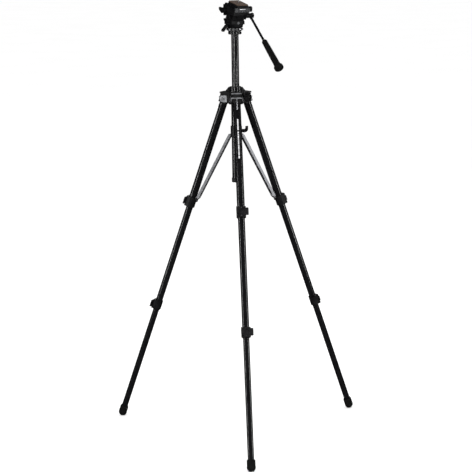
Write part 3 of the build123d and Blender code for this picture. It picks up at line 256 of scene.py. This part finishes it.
def anodised(name, colour, matrix, roughness=0.16):
    """Black anodised tube: drawn lengthwise lines, slight tone changes and handling marks."""
    material, surface = shader(name, colour[:3], roughness, 0.0, 0.5, 0.3)
    if surface:
        tree = material.node_tree
        drawn = noise(tree, pattern_space(tree, matrix, (0.7, 0.7, 60.0)), 2.0)
        worn = noise(tree, pattern_space(tree, matrix, (14.0, 14.0, 45.0)), 4.0)
        vary(tree, worn, surface, "Roughness", roughness - 0.03, roughness + 0.05)
        tint(tree, worn, surface, scaled(colour, 0.85), scaled(colour, 1.35))
        relief(tree, drawn, surface, 0.0015, 0.2)
    return material


def moulded(name, colour, roughness=0.42, grain=0.5, depth=0.02, specular=0.25):
    """Glass-filled black plastic with a fine moulded texture."""
    material, surface = shader(name, colour[:3], roughness, 0.0, specular)
    if surface:
        tree = material.node_tree
        fine = noise(tree, pattern_space(tree, None, (grain,) * 3), 3.0)
        broad = noise(tree, pattern_space(tree, None, (18.0,) * 3), 3.0)
        vary(tree, broad, surface, "Roughness", roughness - 0.07, roughness + 0.08)
        tint(tree, broad, surface, scaled(colour, 0.8), scaled(colour, 1.3))
        relief(tree, fine, surface, depth, 0.6)
    return material


def lacquered(name, colour, roughness=0.16):
    """Gloss black lacquer with the faint ripple of a sprayed coat."""
    material, surface = shader(name, colour[:3], roughness, 0.0, 0.45, 0.3)
    if surface:
        tree = material.node_tree
        ripple = noise(tree, pattern_space(tree, None, (2.4,) * 3), 1.0)
        dust = noise(tree, pattern_space(tree, None, (9.0,) * 3), 4.0)
        vary(tree, dust, surface, "Roughness", roughness, roughness + 0.08)
        tint(tree, dust, surface, scaled(colour, 0.9), scaled(colour, 1.2))
        relief(tree, ripple, surface, 0.02, 0.35)
    return material


def rubbery(name, colour, grain=0.8, depth=0.08, roughness=0.75):
    """Soft black rubber with a dull pebbled skin."""
    material, surface = shader(name, colour[:3], roughness, 0.0, 0.12)
    if surface:
        tree = material.node_tree
        pebble = tree.nodes.new("ShaderNodeTexVoronoi")
        tree.links.new(pattern_space(tree, None, (grain,) * 3), pebble.inputs["Vector"])
        pebble.inputs["Scale"].default_value = 1.0
        scuff = noise(tree, pattern_space(tree, None, (7.0,) * 3), 5.0)
        vary(tree, scuff, surface, "Roughness", roughness - 0.1, roughness + 0.12)
        tint(tree, scuff, surface, scaled(colour, 0.75), scaled(colour, 1.6))
        relief(tree, pebble.outputs["Distance"], surface, depth, 0.7)
    return material


def bright_metal(name, colour, roughness, matrix=None, grain=(0.4, 0.4, 25.0), depth=0.01):
    """Bare or silvered metal with a directional brushed grain."""
    material, surface = shader(name, colour[:3], roughness, 0.9, 0.5)
    if surface:
        tree = material.node_tree
        brushed = noise(tree, pattern_space(tree, matrix, grain), 2.0)
        cloud = noise(tree, pattern_space(tree, matrix, (11.0,) * 3), 4.0)
        vary(tree, cloud, surface, "Roughness", roughness - 0.06, roughness + 0.1)
        tint(tree, cloud, surface, scaled(colour, 0.8), scaled(colour, 1.12))
        relief(tree, brushed, surface, depth, 0.6)
    return material


def cork(name, dark, light):
    """Pressed cork: pale and dark granules a millimetre or two across."""
    material, surface = shader(name, light[:3], 0.85, 0.0, 0.2)
    if surface:
        tree = material.node_tree
        space = pattern_space(tree, None, (1.5,) * 3)
        granules = tree.nodes.new("ShaderNodeTexVoronoi")
        granules.inputs["Scale"].default_value = 1.0
        tree.links.new(space, granules.inputs["Vector"])
        tone = tree.nodes.new("ShaderNodeSeparateColor")
        tree.links.new(granules.outputs["Color"], tone.inputs["Color"])
        tint(tree, tone.outputs["Red"], surface, dark[:3], light[:3], 0.05, 0.95)
        vary(tree, noise(tree, space, 3.0), surface, "Roughness", 0.78, 0.95)
        relief(tree, granules.outputs["Distance"], surface, 0.25, 0.8)
    return material


def finish_nodes(material, *names):
    """Gives solid parts their material."""
    for name in names:
        slots = frame["nodes"][name].data.materials
        slots.clear()
        slots.append(material)


# ---------------------------------------------------------------- what a user would change
class TripodFinishes(bpy.types.PropertyGroup):
    """Colours of the tripod's own finishes; the label colour also paints a highlight in the rear bar's slot
    """

    tube_black: FloatVectorProperty(
        name="Tube black", description="Anodised leg and column tubes", subtype="COLOR",
        default=(0.004, 0.004, 0.0045), min=0, max=1,
    )
    moulding_black: FloatVectorProperty(
        name="Moulding black", description="Plastic castings and locks", subtype="COLOR",
        default=(0.0045, 0.0045, 0.005), min=0, max=1,
    )
    lacquer_black: FloatVectorProperty(
        name="Lacquer black", description="Glossy collar and flange", subtype="COLOR",
        default=(0.003, 0.003, 0.0035), min=0, max=1,
    )
    rubber_black: FloatVectorProperty(
        name="Rubber black", description="Feet and handle grip", subtype="COLOR",
        default=(0.0035, 0.0035, 0.0035), min=0, max=1,
    )
    silver: FloatVectorProperty(
        name="Silver", description="Bright trim on the shoulder and head", subtype="COLOR",
        default=(0.50, 0.51, 0.53), min=0, max=1,
    )
    brace_grey: FloatVectorProperty(
        name="Brace grey", description="Bare aluminium spreader arms", subtype="COLOR",
        default=(0.34, 0.345, 0.36), min=0, max=1,
    )
    plated_steel: FloatVectorProperty(
        name="Plated steel", description="Bolts, pins and screws", subtype="COLOR",
        default=(0.46, 0.46, 0.48), min=0, max=1,
    )
    cork_dark: FloatVectorProperty(
        name="Cork dark", description="Dark granules of the plate's pad", subtype="COLOR",
        default=(0.028, 0.017, 0.012), min=0, max=1,
    )
    cork_light: FloatVectorProperty(
        name="Cork light", description="Pale granules of the plate's pad", subtype="COLOR",
        default=(0.105, 0.070, 0.050), min=0, max=1,
    )
    # Also the colour of the pale inset in the rear bar's slot, which is a painted highlight.
    label_and_highlight_white: FloatVectorProperty(
        name="Label white", description="Plain strip on the front leg", subtype="COLOR",
        default=(0.55, 0.55, 0.56), min=0, max=1,
    )


class TripodSizes(bpy.types.PropertyGroup):
    """Sizes of the small parts"""

    tread_depth: FloatProperty(
        name="Tread depth", description="Depth of the grooves round a foot",
        subtype="DISTANCE", unit="LENGTH", default=0.0008, min=0.0, max=0.002,
    )
    tread_rings: IntProperty(
        name="Tread rings", description="Grooves round a foot",
        default=4, min=1, max=6,
    )
    lever_ribs: IntProperty(
        name="Lever ribs", description="Finger ribs on a lock lever",
        default=6, min=2, max=9,
    )
    seal_width: FloatProperty(
        name="Seal width", description="Wall of the wiper ring under a leg lock",
        subtype="DISTANCE", unit="LENGTH", default=0.0016, min=0.0005, max=0.003,
    )
    label_start: FloatProperty(
        name="Label start", description="Distance of the label below the leg's hinge",
        subtype="DISTANCE", unit="LENGTH", default=0.078, min=0.05, max=0.2,
    )
    label_length: FloatProperty(
        name="Label length", description="Length of the label strip", subtype="DISTANCE", unit="LENGTH",
        default=0.150, min=0.02, max=0.25,
    )
    thread_pitch: FloatProperty(
        name="Thread pitch", description="Pitch of the camera screw", subtype="DISTANCE", unit="LENGTH",
        default=0.00127, min=0.001, max=0.002,
    )


class TripodStage(bpy.types.PropertyGroup):
    """Floor, lights and camera"""

    lens: FloatProperty(
        name="Lens", description="Focal length of the camera", subtype="DISTANCE_CAMERA", unit="CAMERA",
        default=129.96, min=20, max=300,
    )
    floor_white: FloatVectorProperty(
        name="Floor", description="Colour of the studio floor", subtype="COLOR",
        default=(0.97, 0.97, 0.97), min=0, max=1,
    )
    key_power: FloatProperty(
        name="Key power", description="Power of the main softbox in watts",
        subtype="POWER", unit="POWER", default=85.0, min=0,
    )
    fill_power: FloatProperty(
        name="Fill power", description="Power of the other softboxes in watts",
        subtype="POWER", unit="POWER", default=60.0, min=0,
    )
    strip_power: FloatProperty(
        name="Strip power", description="Power of the side strips in watts",
        subtype="POWER", unit="POWER", default=24.0, min=0,
    )
    reflected_sky: FloatProperty(
        name="Reflected sky",
        description="Strength of the surround in reflections, as black flags round the set would leave it",
        default=0.006, min=0, max=3,
    )
    sky: FloatProperty(
        name="Sky", description="Strength of the white surround",
        default=1.08, min=0, max=3,
    )


# ---------------------------------------------------------------- one operator for each group of pieces
class TRIPOD_OT_legs(bpy.types.Operator):
    """Finish the leg tubes and the castings at their tops, with the bright bar and tongue"""

    bl_idname = "tripod.legs"
    bl_label = "Legs"

    def execute(self, context):
        look = context.scene.tripod_finishes
        casting = moulded("leg_casting_black", look.moulding_black)
        silver = bright_metal("leg_trim_silver", look.silver, 0.3)
        for leg in LEGS:
            matrix = leg_matrix(leg)
            tube = anodised(f"leg_tube_black_{leg}", look.tube_black, matrix)
            finish_nodes(tube, f"upper_leg_tube_{leg}", f"middle_leg_tube_{leg}", f"lower_leg_tube_{leg}")
            finish_nodes(casting, f"leg_top_fitting_{leg}")
            bm = bmesh.new()
            block(bm, (-20.2, 15.3, -4.2), (20.2, 18.3, 1.2), 0.9, 3)
            block(bm, (-2.0, 15.0, 0.5), (2.0, 16.8, 42.2), 0.5)
            for side in (-1, 1):
                block(bm, (side * 15 - 2.2, 17.9, -3.2), (side * 15 + 2.2, 18.9, 0.2), 0.4)
            add_piece(f"leg_top_bar_{leg}", bm, matrix, f"leg_{leg}", silver)
        return {"FINISHED"}


class TRIPOD_OT_locks(bpy.types.Operator):
    """Finish the leg locks: collars, ribbed levers, adjusting nuts and the wiper rings below them"""

    bl_idname = "tripod.locks"
    bl_label = "Leg locks"

    def execute(self, context):
        look, sizes = context.scene.tripod_finishes, context.scene.tripod_sizes
        collar = moulded("lock_collar_black", look.moulding_black, 0.38)
        lever = moulded("lock_lever_black", scaled(look.moulding_black, 1.25), 0.32, 0.6, 0.02)
        ring = rubbery("wiper_rubber", look.rubber_black)
        steel = bright_metal("lock_nut_steel", look.plated_steel, 0.28)
        wall = sizes.seal_width / MM
        for leg in LEGS:
            matrix = leg_matrix(leg)
            for which, body, tube, inner, start, end in LEG_LOCKS:
                finish_nodes(collar, f"{which}_lock_collar_{leg}")
                finish_nodes(lever, f"{which}_lock_lever_{leg}")
                middle = (start + end) / 2
                outer = tube + LOCK_FACE + LEVER_GAP + LEVER_THICKNESS
                bm = bmesh.new()
                for number in range(sizes.lever_ribs):
                    x = 9.0 + number * 14.0 / sizes.lever_ribs
                    block(bm, (x, outer - 0.2, middle - 11), (x + 1.1, outer + 0.7, middle + 11), 0.3)
                block(bm, (-12.5, outer - 0.2, middle - 7), (4.0, outer + 0.5, middle + 7), 0.45, 3)
                add_piece(
                    f"{which}_lever_ribs_{leg}", bm, matrix, f"{which}_lever_{leg}", lever,
                )
                bm = bmesh.new()
                lathe(bm, (
                    (inner + 0.1, end - 0.2), (inner + 0.1, end + 1.6), (inner + 0.4, end + 2.0),
                    (inner + wall, end + 1.6), (inner + wall, end - 0.2), (inner + 0.1, end - 0.2),
                ))
                add_piece(f"{which}_wiper_ring_{leg}", bm, matrix, f"{body}_{leg}", ring)
                bm = bmesh.new()
                for station in (start + 5.5, end - 6.5):
                    stud(bm, (0, tube + LOCK_FACE + 0.5, station), 1, 2.4, 2.1, 1.6, 6)
                add_piece(f"{which}_lock_nuts_{leg}", bm, matrix, f"{body}_{leg}", steel, 20.0)
        return {"FINISHED"}


class TRIPOD_OT_feet(bpy.types.Operator):
    """Turn the rubber feet with grooved sides and a flat where they meet the floor"""

    bl_idname = "tripod.feet"
    bl_label = "Feet"

    def execute(self, context):
        look, sizes = context.scene.tripod_finishes, context.scene.tripod_sizes
        rubber = rubbery("foot_rubber_black", look.rubber_black, 0.9, 0.1, 0.68)
        depth = sizes.tread_depth / MM
        for leg in LEGS:
            matrix = leg_matrix(leg)
            hinge = matrix.to_translation().z / MM
            dome = (hinge - FOOT_DOME_HEIGHT) / abs(matrix.col[2][2])
            profile = [
                (0.0, FOOT_PLUG), (LOWER_TUBE, FOOT_PLUG), (LOWER_TUBE, FOOT_TOP), (13.9, FOOT_TOP),
                (14.6, FOOT_TOP + 0.5), (15.7, FOOT_TOP + 2.6),
            ]
            side = FOOT_RADIUS - 0.4
            for number in range(sizes.tread_rings):
                top = FOOT_TOP + 5.5 + number * 5.0
                floor = side - depth
                profile += [(side, top), (floor, top + 0.5), (floor, top + 1.7), (side + 0.1, top + 2.2)]
            for step in range(12):
                angle = step * pi / 24
                profile.append((FOOT_RADIUS * cos(angle), dome + FOOT_RADIUS * sin(angle)))
            profile += [(0.0, dome + FOOT_RADIUS)]
            bm = bmesh.new()
            lathe(bm, profile, 56)
            bmesh.ops.remove_doubles(bm, verts=bm.verts, dist=0.00001)
            local = matrix.inverted()
            cut = bmesh.ops.bisect_plane(
                bm, geom=bm.verts[:] + bm.edges[:] + bm.faces[:], dist=0.000001,
                plane_co=local @ Vector((0, 0, 0.00005)), plane_no=local.to_3x3() @ Vector((0, 0, -1)),
                clear_outer=True,
            )
            rim = [part for part in cut["geom_cut"] if isinstance(part, bmesh.types.BMEdge)]
            bmesh.ops.contextual_create(bm, geom=rim)
            add_piece(
                f"foot_boot_{leg}", bm, matrix, f"low_{leg}", rubber, 40.0, (f"foot_{leg}",),
            )
        return {"FINISHED"}


class TRIPOD_OT_label(bpy.types.Operator):
    """Lay a plain pale strip with blank graduations in the front leg's groove"""

    bl_idname = "tripod.label"
    bl_label = "Leg label"

    def execute(self, context):
        look, sizes = context.scene.tripod_finishes, context.scene.tripod_sizes
        matrix = leg_matrix("front")
        white = moulded("label_and_highlight_white", look.label_and_highlight_white, 0.35, 0.3, 0.005)
        dark = moulded("label_mark_grey", (0.05, 0.05, 0.052), 0.4, 0.3, 0.005)
        start = sizes.label_start / MM
        end = start + sizes.label_length / MM
        bm = bmesh.new()
        face = GROOVE_FLOOR + 0.6
        block(bm, (-2.3, GROOVE_FLOOR, start), (2.3, face, start + 42), 0.2)
        block(bm, (-2.2, GROOVE_FLOOR, start + 48), (2.2, face, end), 0.2)
        add_piece("leg_label_strip", bm, matrix, "leg_front", white)
        bm = bmesh.new()
        marks = 13
        for number in range(marks):
            z = start + 54 + number * (end - start - 60) / marks
            block(bm, (-1.7, face - 0.1, z), (1.7 - 1.2 * (number % 3), face + 0.12, z + 3.2), 0.1, 1)
        add_piece("leg_label_marks", bm, matrix, "leg_front", dark)
        return {"FINISHED"}


class TRIPOD_OT_spreader(bpy.types.Operator):
    """Finish the spreader: bare aluminium arms, black hub, plated pins and the curled hub knob"""

    bl_idname = "tripod.spreader"
    bl_label = "Spreader"

    def execute(self, context):
        look = context.scene.tripod_finishes
        for leg in LEGS:
            matrix, lengthwise = brace_matrix(leg), (0.5, 0.5, 50.0)
            arm = bright_metal(f"brace_grey_{leg}", look.brace_grey, 0.36, matrix, lengthwise, 0.015)
            finish_nodes(arm, f"brace_arm_{leg}")
        finish_nodes(moulded("hub_black", look.moulding_black, 0.36), "spreader_hub")
        finish_nodes(moulded("hub_knob_black", scaled(look.moulding_black, 0.9), 0.3), "hub_lock_knob")
        finish_nodes(bright_metal("pin_steel", look.plated_steel, 0.26), "hub_pins")
        return {"FINISHED"}


class TRIPOD_OT_shoulder(bpy.types.Operator):
    """Finish the shoulder casting, its bright side lugs, the hinge bolts and the column lock"""

    bl_idname = "tripod.shoulder"
    bl_label = "Shoulder"

    def execute(self, context):
        look = context.scene.tripod_finishes
        upright = Matrix.Translation((0, joint("pan")["pos_m"][1], 0))
        finish_nodes(moulded("shoulder_black", look.moulding_black, 0.36, 0.6, 0.03), "shoulder_casting")
        lug = bright_metal("shoulder_lug_silver", look.silver, 0.3, None, (0.5, 0.5, 6.0))
        finish_nodes(lug, "shoulder_trim")
        finish_nodes(bright_metal("hinge_bolt_steel", look.plated_steel, 0.25), "leg_hinge_bolts")
        finish_nodes(lacquered("collar_gloss", look.lacquer_black), "column_collar")
        finish_nodes(moulded("column_knob_black", look.moulding_black, 0.4, 0.7, 0.04), "column_lock_knob")
        finish_nodes(anodised("guide_tube_black", look.tube_black, upright), "guide_tube")
        finish_nodes(moulded("guide_cap_black", look.moulding_black, 0.35), "guide_tube_cap")
        knob = joint("column_knob_turn")
        matrix = frame_matrix(knob["pos_m"], (0, 0, 1), knob["axis"])
        bm = bmesh.new()
        lathe(bm, ((0, 11.9), (6.0, 11.9), (7.4, 12.3), (8.2, 12.2), (8.4, 11.4), (0, 11.4)))
        gloss = lacquered("knob_cap_gloss", look.lacquer_black, 0.2)
        add_piece("column_knob_cap", bm, matrix, "column_knob", gloss)
        return {"FINISHED"}


class TRIPOD_OT_column(bpy.types.Operator):
    """Finish the centre column, its flange and the head's base ring with its set screws"""

    bl_idname = "tripod.column"
    bl_label = "Centre column"

    def execute(self, context):
        look = context.scene.tripod_finishes
        upright = Matrix.Translation((0, joint("pan")["pos_m"][1], 0))
        finish_nodes(anodised("column_black", look.tube_black, upright, 0.16), "column_tube")
        finish_nodes(lacquered("flange_gloss", look.lacquer_black, 0.22), "column_flange")
        finish_nodes(lacquered("base_gloss", scaled(look.lacquer_black, 1.3), 0.28), "head_base")
        finish_nodes(bright_metal("base_screw_steel", look.plated_steel, 0.22), "base_screws")
        return {"FINISHED"}


class TRIPOD_OT_head(bpy.types.Operator):
    """Finish the pan housing, tilt block, platform and their levers"""

    bl_idname = "tripod.head"
    bl_label = "Video head"

    def execute(self, context):
        look = context.scene.tripod_finishes
        body = moulded("head_black", look.moulding_black, 0.34, 0.6, 0.03)
        lever = moulded("head_lever_black", scaled(look.moulding_black, 0.85), 0.28, 0.6, 0.02)
        finish_nodes(body, "pan_housing", "tilt_block", "platform")
        finish_nodes(lever, "pan_lock_lever", "tilt_lock_knob", "plate_lever", "plate_catch")
        finish_nodes(bright_metal("axle_steel", look.plated_steel, 0.3), "tilt_axle")
        finish_nodes(bright_metal("button_silver", scaled(look.silver, 0.3), 0.3), "drag_button")
        matrix = tilt_matrix()
        bar = bright_metal("rear_bar_silver", scaled(look.silver, 0.45), 0.26, matrix, (25.0, 0.4, 0.4))
        finish_nodes(bar, "rear_clamp_bar")
        # Pale inset filling the rear bar's slot: a painted highlight in the label colour, standing for the
        # white seen there, not a part of the bar.
        bm = bmesh.new()
        block(bm, (-12.1, REAR_BAR_FACE + 0.1, 55.8), (12.1, REAR_BAR_FACE + 4.6, 58.4), 1.0, 3)
        pale = moulded("inset_painted_highlight", look.label_and_highlight_white, 0.3, 0.3, 0.005)
        add_piece("bar_inset_painted_highlight", bm, matrix, "tilt", pale)
        bm = bmesh.new()
        for side in (-1, 1):
            stud(bm, (side * 27.5, REAR_BAR_FACE - 0.4, 48.5), -1, 2.0, 1.7, 1.2, 24)
        steel = bright_metal("bar_screw_steel", look.plated_steel, 0.25)
        add_piece("bar_screws", bm, matrix, "tilt", steel, 25.0)
        return {"FINISHED"}


class TRIPOD_OT_plate(bpy.types.Operator):
    """Finish the quick release plate, its cork pad and the threaded camera screw"""

    bl_idname = "tripod.plate"
    bl_label = "Camera plate"

    def execute(self, context):
        look, sizes = context.scene.tripod_finishes, context.scene.tripod_sizes
        finish_nodes(moulded("plate_black", look.moulding_black, 0.32, 0.5, 0.02), "quick_plate")
        finish_nodes(cork("plate_cork", look.cork_dark, look.cork_light), "plate_pad")
        steel = bright_metal("camera_screw_steel", look.plated_steel, 0.2, None, (0.3, 0.3, 0.3))
        turn = joint("camera_screw_turn")
        matrix = frame_matrix(turn["pos_m"], joint("tilt")["axis"], turn["axis"])
        bm = bmesh.new()
        bottom, top, radius = SCREW_HEAD
        lathe(bm, (
            (0, bottom), (radius - 0.9, bottom), (radius, bottom + 0.8), (radius, top), (SCREW_CORE, top),
            (SCREW_CORE, SCREW_TOP - 0.5), (SCREW_CORE - 0.45, SCREW_TOP), (0, SCREW_TOP),
        ), 40)
        pitch = sizes.thread_pitch / MM
        corners = (
            (THREAD_ROOT, THREAD_START), (THREAD_CREST, THREAD_START + pitch * 0.42),
            (THREAD_CREST, THREAD_START + pitch * 0.5), (THREAD_ROOT, THREAD_START + pitch * 0.9),
        )
        start = bm.faces.new([bm.verts.new((x * MM, 0, z * MM)) for x, z in corners])
        steps, turns = 24, 3
        bmesh.ops.spin(
            bm, geom=[start, *start.edges, *start.verts], cent=(0, 0, 0), axis=(0, 0, 1),
            dvec=(0, 0, pitch * MM / steps), angle=tau * turns, steps=steps * turns, use_merge=False,
        )
        add_piece("camera_screw_thread", bm, matrix, "screw", steel, 30.0, ("camera_screw",))
        return {"FINISHED"}


class TRIPOD_OT_handle(bpy.types.Operator):
    """Finish the pan handle: bar, soft grip with its end ring, and the angle knob"""

    bl_idname = "tripod.handle"
    bl_label = "Pan handle"

    def execute(self, context):
        look = context.scene.tripod_finishes
        matrix = handle_matrix()
        finish_nodes(anodised("handle_bar_black", look.tube_black, matrix, 0.2), "handle_bar")
        grip = rubbery("grip_rubber_black", look.rubber_black, 0.7, 0.1, 0.62)
        finish_nodes(grip, "handle_grip")
        finish_nodes(moulded("handle_knob_black", look.moulding_black, 0.34), "handle_clamp_knob")
        bm = bmesh.new()
        for number in range(4):
            z = GRIP_START + 3.5 + number * 3.4
            lathe(bm, ((9.6, z), (10.5, z + 0.6), (10.5, z + 1.5), (9.6, z + 2.1), (9.6, z)))
        low, high = GRIP_RIM + 1.5, GRIP_RIM + 7.5
        lathe(bm, ((16.6, low), (17.3, low + 0.7), (17.3, high - 0.7), (16.6, high), (16.6, low)), 56)
        lathe(bm, (
            (0, GRIP_END - 0.4), (9.4, GRIP_END - 0.4), (9.9, GRIP_END + 0.1), (9.2, GRIP_END + 0.7),
            (4.0, GRIP_END + 1.2), (0, GRIP_END + 1.3),
        ))
        add_piece("grip_rings", bm, matrix, "handle", grip)
        return {"FINISHED"}


# The camera stands in front of the column, a little to its left and above the head, in metres.
CAMERA_PLACE = (-0.4229, -6.387, 1.8955)
CAMERA_AIM_HEIGHT, CAMERA_AIM_LEFT = 0.765458, 0.007465
CAMERA_TURN, CAMERA_ROLL = radians(-3.721), radians(-0.902)


class TRIPOD_OT_stage(bpy.types.Operator):
    """Lay the pale floor and set the studio lights and the camera"""

    bl_idname = "tripod.stage"
    bl_label = "Stage"

    def execute(self, context):
        setting = context.scene.tripod_stage
        column = Vector((0, joint("pan")["pos_m"][1], 0))
        bm = bmesh.new()
        bmesh.ops.create_grid(bm, x_segments=1, y_segments=1, size=160.0)
        mesh = bpy.data.meshes.new("studio_floor")
        bm.to_mesh(mesh)
        bm.free()
        floor = bpy.data.objects.new("studio_floor", mesh)
        context.scene.collection.objects.link(floor)
        paint, surface = shader("studio_white", setting.floor_white[:3], 0.9, 0.0, 0.1)
        tree = paint.node_tree
        mottle = noise(tree, pattern_space(tree, None, (900.0,) * 3), 2.0)
        tint(tree, mottle, surface, scaled(setting.floor_white, 0.985), scaled(setting.floor_white, 1.0))
        dark = tree.nodes.new("ShaderNodeEmission")
        dark.inputs["Strength"].default_value = setting.reflected_sky
        seen = tree.nodes.new("ShaderNodeLightPath")
        mixed = tree.nodes.new("ShaderNodeMixShader")
        tree.links.new(seen.outputs["Is Glossy Ray"], mixed.inputs["Fac"])
        tree.links.new(surface.outputs["BSDF"], mixed.inputs[1])
        tree.links.new(dark.outputs["Emission"], mixed.inputs[2])
        tree.links.new(mixed.outputs["Shader"], tree.nodes["Material Output"].inputs["Surface"])
        mesh.materials.append(paint)

        world = bpy.data.worlds.new("studio_surround")
        context.scene.world = world
        world.use_nodes = True
        tree = world.node_tree
        back = tree.nodes["Background"]
        back.inputs["Color"].default_value = (1, 1, 1, 1)
        seen = tree.nodes.new("ShaderNodeLightPath")
        dimmed = tree.nodes.new("ShaderNodeMapRange")
        dimmed.inputs["To Min"].default_value = setting.sky
        dimmed.inputs["To Max"].default_value = setting.reflected_sky
        tree.links.new(seen.outputs["Is Glossy Ray"], dimmed.inputs["Value"])
        tree.links.new(dimmed.outputs["Result"], back.inputs["Strength"])
        context.scene.view_settings.view_transform = "Standard"

        softboxes = (
            ("key_softbox", (-2.2, -4.2, 2.4), 0.22, 4.2, setting.key_power),
            ("fill_softbox", (2.4, -4.0, 2.2), 0.20, 4.0, setting.fill_power),
            ("left_strip", (-3.4, -0.9, 1.1), 0.22, 2.2, setting.strip_power),
            ("right_strip", (3.4, -0.9, 1.1), 0.22, 2.2, setting.strip_power),
            ("rim_softbox", (1.6, 3.6, 3.0), 1.2, 1.6, setting.fill_power * 0.8),
        )
        for name, place, width, height, power in softboxes:
            light = bpy.data.lights.new(name, "AREA")
            light.shape = "RECTANGLE"
            light.size, light.size_y = width, height
            light.energy = power
            lamp = bpy.data.objects.new(name, light)
            context.scene.collection.objects.link(lamp)
            aim = (column + Vector((0, 0, 0.9))) - Vector(place)
            lamp.matrix_world = Matrix.Translation(place) @ aim.to_track_quat("-Z", "Y").to_matrix().to_4x4()

        place = column + Vector(CAMERA_PLACE)
        right = Vector((cos(CAMERA_TURN), sin(CAMERA_TURN), 0))
        target = column + Vector((0, 0, CAMERA_AIM_HEIGHT)) - right * CAMERA_AIM_LEFT
        forward = (target - place).normalized()
        up = right.cross(forward)
        across = right * cos(CAMERA_ROLL) + up * sin(CAMERA_ROLL)
        upward = up * cos(CAMERA_ROLL) - right * sin(CAMERA_ROLL)
        data = bpy.data.cameras.new("camera")
        data.lens, data.sensor_width, data.sensor_fit = setting.lens, 36.0, "HORIZONTAL"
        data.clip_end = 400.0
        camera = bpy.data.objects.new("camera", data)
        context.scene.collection.objects.link(camera)
        matrix = Matrix((across, upward, -forward)).transposed().to_4x4()
        matrix.translation = place
        camera.matrix_world = matrix
        context.scene.camera = camera
        return {"FINISHED"}


OPERATORS = (
    TRIPOD_OT_legs, TRIPOD_OT_locks, TRIPOD_OT_feet, TRIPOD_OT_label, TRIPOD_OT_spreader, TRIPOD_OT_shoulder,
    TRIPOD_OT_column, TRIPOD_OT_head, TRIPOD_OT_plate, TRIPOD_OT_handle, TRIPOD_OT_stage,
)


class TRIPOD_PT_panel(bpy.types.Panel):
    """Lists the tripod's operators and settings"""

    bl_idname = "TRIPOD_PT_panel"
    bl_label = "Video Tripod"
    bl_space_type = "VIEW_3D"
    bl_region_type = "UI"
    bl_category = "Tripod"

    def draw(self, context):
        for operator in OPERATORS:
            self.layout.operator(operator.bl_idname)
        for group in (context.scene.tripod_finishes, context.scene.tripod_sizes, context.scene.tripod_stage):
            for name in group.__annotations__:
                self.layout.prop(group, name)


GROUPS = (TripodFinishes, TripodSizes, TripodStage)


def register():
    for entry in (*GROUPS, *OPERATORS, TRIPOD_PT_panel):
        bpy.utils.register_class(entry)
    bpy.types.Scene.tripod_finishes = PointerProperty(type=TripodFinishes)
    bpy.types.Scene.tripod_sizes = PointerProperty(type=TripodSizes)
    bpy.types.Scene.tripod_stage = PointerProperty(type=TripodStage)


def unregister():
    del bpy.types.Scene.tripod_stage
    del bpy.types.Scene.tripod_sizes
    del bpy.types.Scene.tripod_finishes
    for entry in reversed((*GROUPS, *OPERATORS, TRIPOD_PT_panel)):
        bpy.utils.unregister_class(entry)


def main():
    register()
    for operator in OPERATORS:
        group, name = operator.bl_idname.split(".")
        getattr(getattr(bpy.ops, group), name)()


if __name__ == "__main__":
    main()
